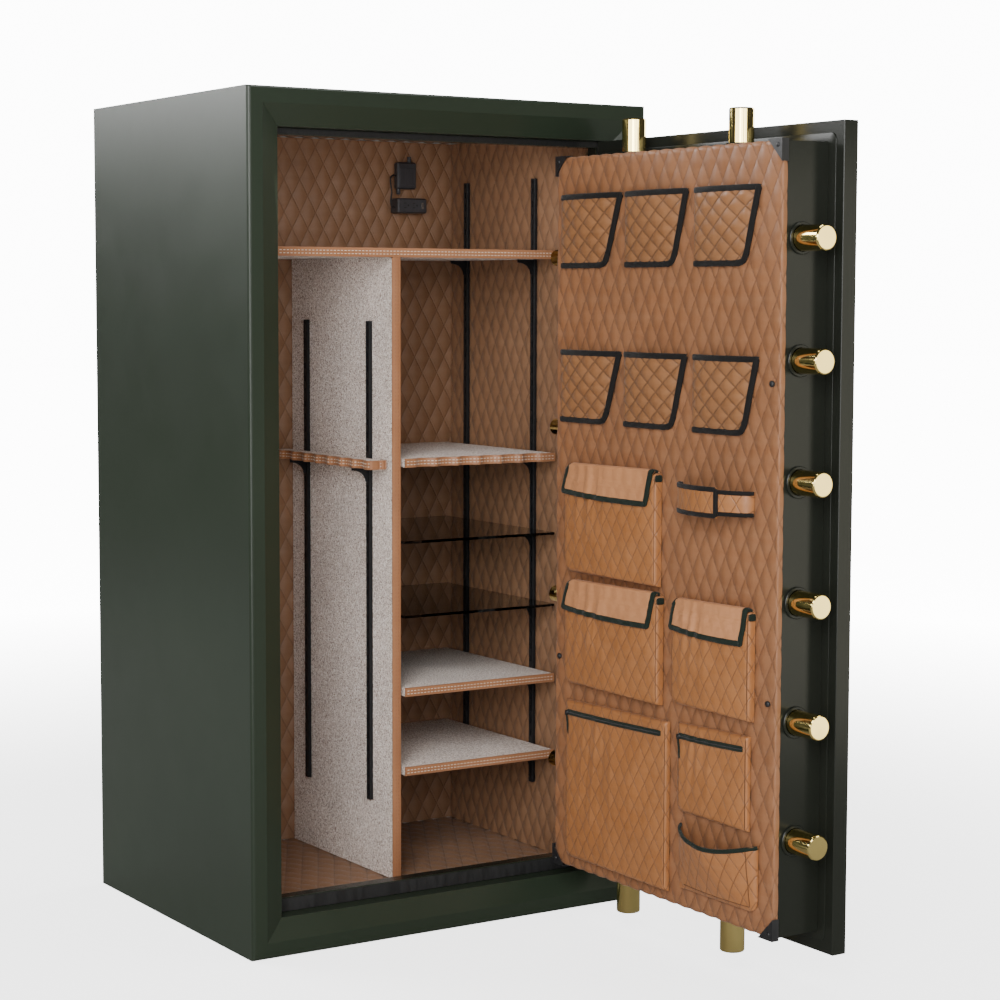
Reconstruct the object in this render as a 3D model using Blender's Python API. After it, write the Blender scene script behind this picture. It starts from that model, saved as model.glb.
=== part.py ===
"""Gun safe with its door swung open a quarter turn.

Metres, +Z up. The origin is the middle of the cabinet's underside, the cabinet's front looks along -Y
and its hinges are on the +X side. Door pieces are drawn with the door shut, where u runs along +X,
v along +Y and z up, and are then swung open about the hinge pins.
"""

import math

import bmesh
import bpy
from mathutils import Matrix, Vector

# Cabinet
WIDTH = 0.824
DEPTH = 0.652
HEIGHT = 1.500
SHEET = 0.003
EDGE_RADIUS = 0.006
BAND = 0.028
OPENING_SIDE = 0.064
OPENING_ENDS = 0.066
BEVEL_DEEP = 0.016
REVEAL_DEEP = 0.048
FLANGE_IN = 0.0775
FLANGE_BOTTOM_IN = 0.091
GAP = 0.0003
SLACK = 0.0005

# Inside faces of the quilted linings
LINING_X = 0.366
LINING_REAR_Y = 0.290
LINING_FRONT_Y = -0.196
CEILING_Z = 1.460
FLOOR_Z = 0.045
LINING_THICK = 0.0097
BOARD_X = 0.376
BOARD_REAR_Y = 0.300
BOARD_TOP_Z = 1.470
BOARD_FLOOR_Z = 0.035

# Divider, shelves and the slotted standards that carry them
SHELF_FRONT_Y = -0.112
DIVIDER_LEFT_X = -0.0065
DIVIDER_RIGHT_X = 0.0100
DIVIDER_FRONT_Y = -0.1105
STANDARD_WIDE = 0.0125
STANDARD_THICK = 0.0075
STANDARD_REAR_Y = 0.221
STANDARD_FRONT_Y = -0.028
SHELF_THICK = 0.0160
GLASS_THICK = 0.0050
TOP_SHELF_Z = 1.235
SCALLOPED_Z = 0.843
GLASS_UPPER_Z = 0.688
GLASS_LOWER_Z = 0.547
CARPET_UPPER_Z = 0.409
CARPET_LOWER_Z = 0.2575
REST_Z = 0.841
REST_OUT_X = -0.055
SCALLOP_PITCH = 0.048
SCALLOP_DEEP = 0.010
BRACKET_REACH = 0.034
BRACKET_TALL = 0.028
BRACKET_THICK = 0.003

# Door, as it stands shut
HINGE_X = 0.346
HINGE_Y = -0.332
SLAB_LEFT = -0.3425
SLAB_RIGHT = 0.3385
SLAB_BOTTOM = 0.0715
SLAB_TOP = 1.4295
SLAB_FRONT = -0.312
SLAB_BACK = -0.281
PLATE = 0.005
LIP = 0.0025
BOX_LEFT = -0.306
BOX_RIGHT = 0.325
BOX_BOTTOM = 0.1055
BOX_TOP = 1.3955
BOX_BACK = -0.1953
BOX_SHEET = 0.0025
PANEL_LEFT = -0.3075
PANEL_RIGHT = 0.3270
PANEL_BOTTOM = 0.1035
PANEL_TOP = 1.3968
PANEL_FACE = -0.183

# Boltwork
BOLT_RADIUS = 0.021
BOLT_RUN = 0.0006
BOLT_OUT = 0.062
BOLT_V = -0.226
SIDE_BOLT_MID_Z = 0.7525
SIDE_BOLT_PITCH = 0.1956
END_BOLT_U = 0.150
PIN_RADIUS = 0.015
PIN_V = -0.2145
PIN_PITCH = 0.310
PIN_END_U = 0.372
GEAR_U = 0.0
GEAR_Z = 0.700
MODULE = 0.005
TEETH = 14
ADDENDUM = 0.8
DEDENDUM_GEAR = 0.9
DEDENDUM_RACK = 1.0
HALF_TOOTH = 0.00380
PRESSURE = math.radians(20)
GEAR_BACK = -0.2200
GEAR_FRONT = -0.2475
LAYER = 0.0120
SHAFT_RADIUS = 0.011
LOCK_Z = 0.930
SPINDLE_RADIUS = 0.004

# Hinges
HINGE_LOW_Z = 0.330
HINGE_HIGH_Z = 1.170
KNUCKLE_RADIUS = 0.009
KNUCKLE_TALL = 0.050
HINGE_PIN_RADIUS = 0.0045

ROUND = 24


def clear_scene():
    for item in list(bpy.data.objects):
        bpy.data.objects.remove(item, do_unlink=True)


MATERIALS = {}


def material(name, colour, metallic=0.0, roughness=0.5, transmission=0.0):
    if name not in MATERIALS:
        made = bpy.data.materials.new(name)
        made.use_nodes = True
        shader = made.node_tree.nodes["Principled BSDF"]
        shader.inputs["Base Color"].default_value = (*colour, 1.0)
        shader.inputs["Metallic"].default_value = metallic
        shader.inputs["Roughness"].default_value = roughness
        shader.inputs["Transmission Weight"].default_value = transmission
        MATERIALS[name] = made
    return MATERIALS[name]


def green_paint():
    return material("green_gloss_paint", (0.012, 0.022, 0.010), 0.0, 0.12)


def black_steel():
    return material("black_painted_steel", (0.012, 0.012, 0.012), 0.0, 0.25)


def grey_steel():
    return material("plated_steel", (0.45, 0.45, 0.46), 1.0, 0.35)


def brass():
    return material("polished_brass", (0.83, 0.63, 0.22), 1.0, 0.12)


def fire_board():
    return material("mineral_fire_board", (0.62, 0.60, 0.56), 0.0, 0.9)


def quilt():
    return material("quilted_tan_leather", (0.33, 0.17, 0.085), 0.0, 0.45)


def carpet():
    return material("speckled_carpet", (0.38, 0.33, 0.30), 0.0, 0.95)


def seal_rubber():
    return material("black_seal_rubber", (0.01, 0.01, 0.01), 0.0, 0.6)


def smoked_glass():
    return material("smoked_glass", (0.10, 0.12, 0.12), 0.0, 0.03, 0.9)


def black_plastic():
    return material("black_plastic", (0.02, 0.02, 0.022), 0.0, 0.4)


def pocket_leather():
    return material("saddle_leather", (0.38, 0.17, 0.06), 0.0, 0.4)


def finish(name, mesh_maker, paint):
    """An object from a bmesh, with outward faces and one material."""
    bmesh.ops.recalc_face_normals(mesh_maker, faces=mesh_maker.faces)
    data = bpy.data.meshes.new(name)
    mesh_maker.to_mesh(data)
    mesh_maker.free()
    made = bpy.data.objects.new(name, data)
    bpy.context.scene.collection.objects.link(made)
    if paint is not None:
        data.materials.append(paint)
    return made


def hull_of_rings(rings, closed_round=False):
    """A closed solid from rings of equal length: side faces between rings, and a cap at each end."""
    bm = bmesh.new()
    rows = [[bm.verts.new(point) for point in ring] for ring in rings]
    pairs = list(zip(rows, rows[1:]))
    if closed_round:
        pairs.append((rows[-1], rows[0]))
    for low, high in pairs:
        for i in range(len(low)):
            j = (i + 1) % len(low)
            bm.faces.new((low[i], low[j], high[j], high[i]))
    if not closed_round:
        bm.faces.new(rows[0][::-1])
        bm.faces.new(rows[-1])
    return bm


def box(name, lo, hi, paint=None):
    x0, y0, z0 = lo
    x1, y1, z1 = hi
    outline = [(x0, y0), (x1, y0), (x1, y1), (x0, y1)]
    return finish(name, hull_of_rings([[(x, y, z) for x, y in outline] for z in (z0, z1)]), paint)


def prism(name, outline, low, high, axis, paint=None):
    """A flat outline drawn out along x, y or z. The outline is in the two axes left, in order."""
    place = {
        "x": lambda a, b, c: (c, a, b),
        "y": lambda a, b, c: (a, c, b),
        "z": lambda a, b, c: (a, b, c),
    }[axis]
    rings = [[place(a, b, c) for a, b in outline] for c in (low, high)]
    return finish(name, hull_of_rings(rings), paint)


def circle(a, b, radius, count=ROUND, turn=0.0):
    step = 2 * math.pi / count
    return [(a + radius * math.cos(turn + i * step), b + radius * math.sin(turn + i * step)) for i in range(count)]


def turned(name, centre, stations, axis, paint=None, count=ROUND):
    """A round solid along an axis from (position, radius) stations. centre is in the two axes left."""
    place = {
        "x": lambda a, b, c: (c, a, b),
        "y": lambda a, b, c: (a, c, b),
        "z": lambda a, b, c: (a, b, c),
    }[axis]
    rings = [[place(a, b, along) for a, b in circle(*centre, radius, count)] for along, radius in stations]
    return finish(name, hull_of_rings(rings), paint)


def combine(target, tool, operation):
    """A Boolean modifier on target whose tool is hidden."""
    tool.hide_render = True
    tool.display_type = "WIRE"
    step = target.modifiers.new(operation.lower(), "BOOLEAN")
    step.operation = operation
    step.solver = "EXACT"
    step.object = tool
    return target


def weld(target, *tools):
    for tool in tools:
        combine(target, tool, "UNION")
    return target


def cut(target, *tools):
    for tool in tools:
        combine(target, tool, "DIFFERENCE")
    return target


def swing_open(*pieces):
    """Turns pieces drawn on the shut door to where the open door holds them."""
    about = Matrix.Translation((HINGE_X, HINGE_Y, 0))
    turn = about @ Matrix.Rotation(math.radians(90), 4, "Z") @ about.inverted()
    for piece in pieces:
        piece.data.transform(turn)
        piece.data.update()
        for step in piece.modifiers:
            tool = step.object
            tool.data.transform(turn)
            tool.data.update()


def frame_ring(left, right, bottom, top, y):
    return [(left, y, bottom), (right, y, bottom), (right, y, top), (left, y, top)]


# ---------------------------------------------------------------- cabinet


def shell_ring(inset_side, inset_top, inset_bottom, deep):
    x = WIDTH / 2 - inset_side
    return frame_ring(-x, x, inset_bottom, HEIGHT - inset_top, -DEPTH / 2 + deep)


def body_shell():
    """One folded and welded steel body: back, sides, rounded front edge, bevel, reveal and stop flange."""
    r = EDGE_RADIUS
    rings = [shell_ring(0.003, 0.003, 0.003, DEPTH), shell_ring(0, 0, 0, DEPTH - 0.003)]
    for step in range(5):
        angle = math.radians(90 * step / 4)
        inset = r * (1 - math.cos(angle))
        rings.append(shell_ring(inset, inset, inset, r * (1 - math.sin(angle))))
    side, ends = OPENING_SIDE, OPENING_ENDS
    rings.append(shell_ring(BAND, BAND, BAND, 0))
    rings.append(shell_ring(side, ends, ends, BEVEL_DEEP))
    rings.append(shell_ring(side, ends, ends, REVEAL_DEEP))
    rings.append(shell_ring(FLANGE_IN, FLANGE_IN, FLANGE_BOTTOM_IN, REVEAL_DEEP))
    rings.append(shell_ring(FLANGE_IN, FLANGE_IN, FLANGE_BOTTOM_IN, REVEAL_DEEP + SHEET))
    rings.append(shell_ring(side - SHEET, ends - SHEET, ends - SHEET, REVEAL_DEEP + SHEET))
    rings.append(shell_ring(side - SHEET, ends - SHEET, ends - SHEET, BEVEL_DEEP + SHEET))
    rings.append(shell_ring(BAND, BAND, BAND, SHEET + 0.0004))
    rings.append(shell_ring(SHEET + 0.003, SHEET + 0.003, SHEET + 0.003, SHEET + 0.0004))
    rings.append(shell_ring(SHEET, SHEET, SHEET, SHEET + 0.0034))
    rings.append(shell_ring(SHEET, SHEET, SHEET, DEPTH - SHEET))
    return finish("body_shell", hull_of_rings(rings), green_paint())


def strike_frame():
    """The steel ring behind the stop flange that the thrown bolts bear against."""
    out_side, out_ends = OPENING_SIDE - 0.0035, OPENING_ENDS - 0.0035
    near, far = REVEAL_DEEP + SHEET + GAP, 0.0755
    rings = [
        shell_ring(out_side, out_ends, out_ends, near),
        shell_ring(FLANGE_IN, FLANGE_IN, FLANGE_BOTTOM_IN, near),
        shell_ring(FLANGE_IN, FLANGE_IN, FLANGE_BOTTOM_IN, far),
        shell_ring(out_side, out_ends, out_ends, far),
    ]
    return finish("strike_frame", hull_of_rings(rings, closed_round=True), black_steel())


def frame_seal():
    """The rubber strip on the face of the stop flange, against which the door's inner face shuts."""
    near, far = REVEAL_DEEP - 0.0026, REVEAL_DEEP - GAP
    rings = [
        shell_ring(OPENING_SIDE + 0.001, OPENING_ENDS + 0.001, OPENING_ENDS + 0.001, near),
        shell_ring(FLANGE_IN - 0.001, FLANGE_IN - 0.001, FLANGE_BOTTOM_IN - 0.001, near),
        shell_ring(FLANGE_IN - 0.001, FLANGE_IN - 0.001, FLANGE_BOTTOM_IN - 0.001, far),
        shell_ring(OPENING_SIDE + 0.001, OPENING_ENDS + 0.001, OPENING_ENDS + 0.001, far),
    ]
    return finish("frame_seal", hull_of_rings(rings, closed_round=True), seal_rubber())


def fireboard_liner():
    """A tub of mineral board between the steel and the linings."""
    out_x, out_back = WIDTH / 2 - SHEET - GAP, DEPTH / 2 - SHEET - GAP
    low, high = SHEET + GAP, HEIGHT - SHEET - GAP
    front = -DEPTH / 2 + 0.078
    rings = [
        frame_ring(-out_x, out_x, low, high, out_back),
        frame_ring(-out_x, out_x, low, high, front),
        frame_ring(-BOARD_X, BOARD_X, BOARD_FLOOR_Z, BOARD_TOP_Z, front),
        frame_ring(-BOARD_X, BOARD_X, BOARD_FLOOR_Z, BOARD_TOP_Z, BOARD_REAR_Y),
    ]
    return finish("fireboard_liner", hull_of_rings(rings), fire_board())


def linings():
    """Five quilted panels on the board's inside faces."""
    x, t = LINING_X, LINING_THICK
    front, rear = LINING_FRONT_Y, LINING_REAR_Y - GAP
    low, high = FLOOR_Z + GAP, CEILING_Z - GAP
    box("lining_left", (-x - t, front, low), (-x, rear, high), quilt())
    box("lining_right", (x, front, low), (x + t, rear, high), quilt())
    box("lining_rear", (-x - t, LINING_REAR_Y, low), (x + t, LINING_REAR_Y + t, high), quilt())
    box("lining_ceiling", (-x - t, front, CEILING_Z), (x + t, LINING_REAR_Y + t, CEILING_Z + t), quilt())
    box("lining_floor", (-x - t, front, FLOOR_Z - t), (x + t, LINING_REAR_Y + t, FLOOR_Z), quilt())


def divider_panel():
    top = TOP_SHELF_Z - SHELF_THICK - SLACK
    low = (DIVIDER_LEFT_X, DIVIDER_FRONT_Y, FLOOR_Z + GAP)
    high = (DIVIDER_RIGHT_X, LINING_REAR_Y - SLACK, top)
    return box("divider_panel", low, high, carpet())


def scalloped_edge(start, stop, base, inward, pitch, first):
    """Points along a straight edge with shallow barrel notches cut into it, from start to stop."""
    points = [(start, base)]
    sign = 1 if stop > start else -1
    steps = 5
    centre = start + sign * first
    while abs(stop - centre) > pitch * 0.55 and (stop - centre) * sign > 0:
        for i in range(steps + 1):
            angle = math.pi * i / steps
            along = centre - sign * pitch * 0.42 * math.cos(angle)
            points.append((along, base + inward * SCALLOP_DEEP * math.sin(angle)))
        centre += sign * pitch
    points.append((stop, base))
    return points


def plain_shelf(name, left, right, top, thick, paint):
    low = (left, SHELF_FRONT_Y, top - thick)
    high = (right, LINING_REAR_Y - SLACK, top)
    return box(name, low, high, paint)


def shelves():
    bay_left = DIVIDER_RIGHT_X + STANDARD_THICK + 2 * SLACK
    bay_right = LINING_X - STANDARD_THICK - 2 * SLACK
    plain_shelf("top_shelf", -LINING_X + SLACK, bay_right, TOP_SHELF_Z, SHELF_THICK, carpet())
    plain_shelf("glass_shelf_upper", bay_left, bay_right, GLASS_UPPER_Z, GLASS_THICK, smoked_glass())
    plain_shelf("glass_shelf_lower", bay_left, bay_right, GLASS_LOWER_Z, GLASS_THICK, smoked_glass())
    plain_shelf("carpet_shelf_upper", bay_left, bay_right, CARPET_UPPER_Z, SHELF_THICK, carpet())
    plain_shelf("carpet_shelf_lower", bay_left, bay_right, CARPET_LOWER_Z, SHELF_THICK, carpet())
    back = LINING_REAR_Y - SLACK
    outline = scalloped_edge(bay_left, bay_right, SHELF_FRONT_Y, 1, SCALLOP_PITCH, 0.045)
    outline += [(bay_right, back), (bay_left, back)]
    prism("barrel_shelf", outline, SCALLOPED_Z - SHELF_THICK, SCALLOPED_Z, "z", carpet())
    inner = DIVIDER_LEFT_X - STANDARD_THICK - 2 * SLACK
    edge = scalloped_edge(-0.100, back, REST_OUT_X, 1, SCALLOP_PITCH, 0.036)
    outline = [(x, y) for y, x in edge] + [(inner, back), (inner, -0.100)]
    prism("barrel_rest", outline, REST_Z - SHELF_THICK, REST_Z, "z", carpet())


def standard(name, wall_x, out, y, low, high, shelf_bottoms):
    """A slotted steel upright on a wall facing along out (+1 or -1), with a bracket under each shelf."""
    face = wall_x + out * STANDARD_THICK
    xs = sorted((wall_x + out * GAP, face))
    half = STANDARD_WIDE / 2
    made = box(name, (xs[0], y - half, low), (xs[1], y + half, high), black_steel())
    root = face - out * 0.002
    tip = face + out * BRACKET_REACH
    thin = BRACKET_THICK / 2
    for i, z in enumerate(shelf_bottoms):
        top = z - GAP
        outline = [(root, top), (tip, top), (tip, top - 0.006), (face + out * 0.004, top - BRACKET_TALL)]
        outline.append((root, top - BRACKET_TALL))
        weld(made, prism(f"{name}_bracket_{i}", outline, y - thin, y + thin, "y"))
    return made


def standards():
    bay = [SCALLOPED_Z - SHELF_THICK, GLASS_UPPER_Z - GLASS_THICK, GLASS_LOWER_Z - GLASS_THICK]
    bay += [CARPET_UPPER_Z - SHELF_THICK, CARPET_LOWER_Z - SHELF_THICK]
    wall = bay + [TOP_SHELF_Z - SHELF_THICK]
    rest = [REST_Z - SHELF_THICK]
    for place, y in (("rear", STANDARD_REAR_Y), ("front", STANDARD_FRONT_Y)):
        standard(f"standard_right_wall_{place}", LINING_X, -1, y, 0.178, 1.377, wall)
        standard(f"standard_divider_right_{place}", DIVIDER_RIGHT_X, 1, y, 0.185, 1.100, bay)
        standard(f"standard_divider_left_{place}", DIVIDER_LEFT_X, -1, y, 0.185, 1.100, rest)


def power_kit():
    """The outlet strip, the small adapter above it and the lead between them, all on the rear lining."""
    rear = LINING_REAR_Y - GAP
    box("outlet_strip", (0.221, rear - 0.0317, 1.315), (0.289, rear, 1.345), black_plastic())
    adapter = box("power_adapter", (0.2285, rear - 0.0180, 1.364), (0.273, rear, 1.4185), black_plastic())
    weld(adapter, turned("adapter_plug", (0.2525, rear - 0.009), ((1.417, 0.0045), (1.430, 0.0045)), "z", None, 12))
    weld(adapter, turned("adapter_tail", (0.2345, rear - 0.009), ((1.353, 0.0035), (1.366, 0.0035)), "z", None, 12))
    depth = rear - 0.010
    path = [(0.2282, depth, 1.3905), (0.2225, depth, 1.3920), (0.2160, depth - 0.001, 1.3880)]
    path += [(0.2140, depth - 0.002, 1.3800), (0.2155, depth - 0.002, 1.3690), (0.2165, depth - 0.003, 1.3580)]
    path += [(0.2145, depth - 0.004, 1.3470), (0.2130, depth - 0.005, 1.3380), (0.2145, depth - 0.005, 1.3300)]
    path += [(0.2180, depth - 0.005, 1.3270), (0.2207, depth - 0.005, 1.3268)]
    tube("jumper_cord", path, 0.0016, 8, seal_rubber())


def tube(name, path, radius, count, paint):
    """A round cord along a path of points."""
    points = [Vector(p) for p in path]
    rings = []
    side = Vector((0, 1, 0))
    for i, point in enumerate(points):
        ahead = points[min(i + 1, len(points) - 1)] - points[max(i - 1, 0)]
        along = ahead.normalized()
        across = along.cross(side).normalized()
        up = across.cross(along).normalized()
        if i in (0, len(points) - 1):
            along = Vector((1, 0, 0))
            across, up = Vector((0, 0, 1)), Vector((0, 1, 0))
            if ahead.x < 0:
                across = -across
        ring = []
        for a, b in circle(0, 0, radius, count):
            ring.append(tuple(point + across * a + up * b))
        rings.append(ring)
    return finish(name, hull_of_rings(rings), paint)


def cabinet_hinge(name, z):
    """The lower knuckle, its pin and the block that carries it, welded over the frame's bevel."""
    x, y = HINGE_X, HINGE_Y
    top, bottom = z - GAP, z - KNUCKLE_TALL
    front = y - KNUCKLE_RADIUS
    outline = [(x + 0.058, -0.3264), (x + 0.0379, -0.3264), (x + 0.0100, -0.3143), (x + 0.004, y + 0.006)]
    outline += [(x, front), (x + 0.046, front), (x + 0.058, y - 0.002)]
    made = prism(name, outline, bottom, top, "z", green_paint())
    weld(made, turned(f"{name}_knuckle", (x, y), ((bottom, KNUCKLE_RADIUS), (top, KNUCKLE_RADIUS)), "z"))
    stations = ((bottom + 0.001, HINGE_PIN_RADIUS), (z + KNUCKLE_TALL + 0.001, HINGE_PIN_RADIUS))
    stations += ((z + KNUCKLE_TALL + 0.0035, HINGE_PIN_RADIUS - 0.002),)
    return weld(made, turned(f"{name}_pin", (x, y), stations, "z"))


# ------------------------------------------------------------------- door


def slab_ring(left, right, bottom, top, v):
    return frame_ring(SLAB_LEFT + left, SLAB_RIGHT - right, SLAB_BOTTOM + bottom, SLAB_TOP - top, v)


def even_ring(inset, v):
    return slab_ring(inset, inset, inset, inset, v)


def door_slab():
    """The outer door plate folded back into a pan, with a lip that the bolt housing stands on."""
    lip_left, lip_right, lip_ends = 0.046, 0.023, 0.044
    rings = [
        even_ring(0.003, SLAB_FRONT),
        even_ring(0, SLAB_FRONT + 0.003),
        even_ring(0, SLAB_BACK - 0.001),
        even_ring(0.001, SLAB_BACK),
        slab_ring(lip_left, lip_right, lip_ends, lip_ends, SLAB_BACK),
        slab_ring(lip_left, lip_right, lip_ends, lip_ends, SLAB_BACK - LIP),
        even_ring(PLATE, SLAB_BACK - LIP),
        even_ring(PLATE, SLAB_FRONT + PLATE),
    ]
    made = finish("door_slab", hull_of_rings(rings), green_paint())
    shaft = ((SLAB_FRONT - 0.01, SHAFT_RADIUS + SLACK), (SLAB_FRONT + 0.02, SHAFT_RADIUS + SLACK))
    spindle = ((SLAB_FRONT - 0.01, SPINDLE_RADIUS + SLACK), (SLAB_FRONT + 0.02, SPINDLE_RADIUS + SLACK))
    cut(made, turned("slab_shaft_hole", (GEAR_U, GEAR_Z), shaft, "y"))
    return cut(made, turned("slab_spindle_hole", (GEAR_U, LOCK_Z), spindle, "y", None, 12))


def slab_fireboard():
    low = (SLAB_LEFT + PLATE + GAP, SLAB_FRONT + PLATE + GAP, SLAB_BOTTOM + PLATE + GAP)
    high = (SLAB_RIGHT - PLATE - GAP, SLAB_BACK - LIP - GAP, SLAB_TOP - PLATE - GAP)
    made = box("slab_fireboard", low, high, fire_board())
    shaft = ((SLAB_FRONT, SHAFT_RADIUS + 0.002), (SLAB_BACK + 0.01, SHAFT_RADIUS + 0.002))
    spindle = ((SLAB_FRONT, SPINDLE_RADIUS + 0.002), (SLAB_BACK + 0.01, SPINDLE_RADIUS + 0.002))
    cut(made, turned("board_shaft_hole", (GEAR_U, GEAR_Z), shaft, "y"))
    return cut(made, turned("board_spindle_hole", (GEAR_U, LOCK_Z), spindle, "y", None, 12))


def side_bolt_heights():
    return [SIDE_BOLT_MID_Z + (i - 2.5) * SIDE_BOLT_PITCH for i in range(6)]


def pin_heights():
    return [SIDE_BOLT_MID_Z + (i - 1.5) * PIN_PITCH for i in range(4)]


def bolt_box():
    """The steel housing over the boltwork, with a hole for every bolt."""
    s = BOX_SHEET
    ends = (BOX_BOTTOM, BOX_TOP)
    rings = [
        frame_ring(BOX_LEFT, BOX_RIGHT, *ends, BOX_BACK),
        frame_ring(BOX_LEFT, BOX_RIGHT, *ends, SLAB_BACK + GAP),
        frame_ring(BOX_LEFT + s, BOX_RIGHT - s, BOX_BOTTOM + s, BOX_TOP - s, SLAB_BACK + GAP),
        frame_ring(BOX_LEFT + s, BOX_RIGHT - s, BOX_BOTTOM + s, BOX_TOP - s, BOX_BACK - s),
    ]
    made = finish("bolt_box", hull_of_rings(rings), black_steel())
    wide = BOLT_RADIUS + BOLT_RUN
    left = ((BOX_LEFT - 0.01, wide), (BOX_LEFT + 0.01, wide))
    for i, z in enumerate(side_bolt_heights()):
        cut(made, turned(f"side_bolt_hole_{i}", (BOLT_V, z), left, "x"))
    for i, u in enumerate((-END_BOLT_U, END_BOLT_U)):
        for place, z in (("bottom", BOX_BOTTOM), ("top", BOX_TOP)):
            through = ((z - 0.01, wide), (z + 0.01, wide))
            cut(made, turned(f"{place}_bolt_hole_{i}", (u, BOLT_V), through, "z"))
    right = ((BOX_RIGHT - 0.01, PIN_RADIUS + GAP), (BOX_RIGHT + 0.01, PIN_RADIUS + GAP))
    for i, z in enumerate(pin_heights()):
        cut(made, turned(f"pin_hole_{i}", (PIN_V, z), right, "x"))
    return made


def door_panel():
    """The quilted organiser panel over the bolt housing."""
    edge = 0.003
    rings = [
        frame_ring(PANEL_LEFT, PANEL_RIGHT, PANEL_BOTTOM, PANEL_TOP, BOX_BACK + GAP),
        frame_ring(PANEL_LEFT, PANEL_RIGHT, PANEL_BOTTOM, PANEL_TOP, PANEL_FACE - edge),
        frame_ring(PANEL_LEFT + edge, PANEL_RIGHT - edge, PANEL_BOTTOM + edge, PANEL_TOP - edge, PANEL_FACE),
    ]
    return finish("door_panel", hull_of_rings(rings), quilt())


def corner_bracket(name, u, z, out_u, out_z):
    """A black corner piece: a triangle on the panel's face and a tab around each edge."""
    leg, face, tab = 0.036, 0.0022, 0.0016
    near, far = PANEL_FACE + GAP, PANEL_FACE + face
    edge_u, edge_z = u + out_u * GAP, z + out_z * GAP
    rim_u, rim_z = edge_u + out_u * tab, edge_z + out_z * tab
    outline = [(rim_u, rim_z), (rim_u - out_u * leg, rim_z), (rim_u, rim_z - out_z * leg)]
    made = prism(name, outline, near, far, "y", black_plastic())
    back = BOX_BACK + GAP
    for i, (a, b) in enumerate((((edge_u, rim_z), (rim_u, rim_z - out_z * leg)), ((rim_u, edge_z), (rim_u - out_u * leg, rim_z)))):
        us, zs = sorted((a[0], b[0])), sorted((a[1], b[1]))
        weld(made, box(f"{name}_tab_{i}", (us[0], back, zs[0]), (us[1], far - 0.0003, zs[1])))
    return made


def door_hinge(name, z):
    """The upper knuckle and its leaf on the slab's outer face."""
    x, y = HINGE_X, HINGE_Y
    bottom, top = z + GAP, z + KNUCKLE_TALL
    face = SLAB_FRONT - GAP
    outline = [(x - 0.084, face), (x - 0.009, face), (x - 0.002, y + 0.006), (x, y - KNUCKLE_RADIUS)]
    outline += [(x - 0.018, y - KNUCKLE_RADIUS), (x - 0.028, face - 0.004), (x - 0.084, face - 0.004)]
    made = prism(name, outline, bottom, top, "z", green_paint())
    weld(made, turned(f"{name}_knuckle", (x, y), ((bottom, KNUCKLE_RADIUS), (top, KNUCKLE_RADIUS)), "z"))
    bore = ((bottom - 0.01, HINGE_PIN_RADIUS + GAP), (top + 0.01, HINGE_PIN_RADIUS + GAP))
    return cut(made, turned(f"{name}_bore", (x, y), bore, "z"))


def hinge_side_bolts():
    """Four fixed pins on a bar, which hook behind the frame on the hinge side."""
    heights = pin_heights()
    low, high = heights[0] - 0.035, heights[-1] + 0.035
    made = box("hinge_side_bolts", (0.300, -0.232, low), (0.312, -0.1985, high), brass())
    stations = ((0.311, PIN_RADIUS), (PIN_END_U - 0.0015, PIN_RADIUS), (PIN_END_U, PIN_RADIUS - 0.0015))
    for i, z in enumerate(heights):
        weld(made, turned(f"hinge_pin_{i}", (PIN_V, z), stations, "x"))
    return made


def rack_teeth(low, high, first_centre, back):
    """(along, out) points for rack teeth, where out is 0 at the pitch line and negative into the gear."""
    pitch = math.pi * MODULE
    tip = ADDENDUM * MODULE
    root = DEDENDUM_RACK * MODULE
    slope = math.tan(PRESSURE)
    points = [(low, back)]
    first = math.ceil((low + HALF_TOOTH + root * slope + 0.001 - first_centre) / pitch)
    last = math.floor((high - HALF_TOOTH - root * slope - 0.001 - first_centre) / pitch)
    points.append((low, root))
    for i in range(first, last + 1):
        centre = first_centre + i * pitch
        points.append((centre - HALF_TOOTH - root * slope, root))
        points.append((centre - HALF_TOOTH + tip * slope, -tip))
        points.append((centre + HALF_TOOTH - tip * slope, -tip))
        points.append((centre + HALF_TOOTH + root * slope, root))
    points.append((high, root))
    points.append((high, back))
    return points


def gear_outline():
    pitch_radius = MODULE * TEETH / 2
    base = pitch_radius * math.cos(PRESSURE)
    root = pitch_radius - DEDENDUM_GEAR * MODULE
    tip = pitch_radius + ADDENDUM * MODULE
    roll = math.tan(PRESSURE) - PRESSURE
    flank = []
    for radius in (base, base + 0.001, pitch_radius, pitch_radius + 0.002, tip):
        press = math.acos(min(1.0, base / radius))
        flank.append((radius, HALF_TOOTH / pitch_radius + roll - (math.tan(press) - press)))
    flank.insert(0, (root, flank[0][1]))
    points = []
    for i in range(TEETH):
        middle = math.pi / 2 - 2 * math.pi * i / TEETH
        for radius, half in flank:
            points.append((radius, middle + half))
        for radius, half in reversed(flank):
            points.append((radius, middle - half))
    return [(GEAR_U + r * math.cos(a), GEAR_Z + r * math.sin(a)) for r, a in points]


def drive_gear():
    made = prism("drive_gear", gear_outline(), GEAR_FRONT, GEAR_BACK, "y", grey_steel())
    bore = ((GEAR_FRONT - 0.01, SHAFT_RADIUS + GAP), (GEAR_BACK + 0.01, SHAFT_RADIUS + GAP))
    return cut(made, turned("gear_bore", (GEAR_U, GEAR_Z), bore, "y"))


def bolt_solid(name, centre, start, stop, axis):
    sign = 1 if stop > start else -1
    stations = ((start, BOLT_RADIUS), (stop - sign * 0.002, BOLT_RADIUS), (stop, BOLT_RADIUS - 0.002))
    if sign < 0:
        stations = stations[::-1]
    return turned(name, centre, stations, axis)


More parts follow.
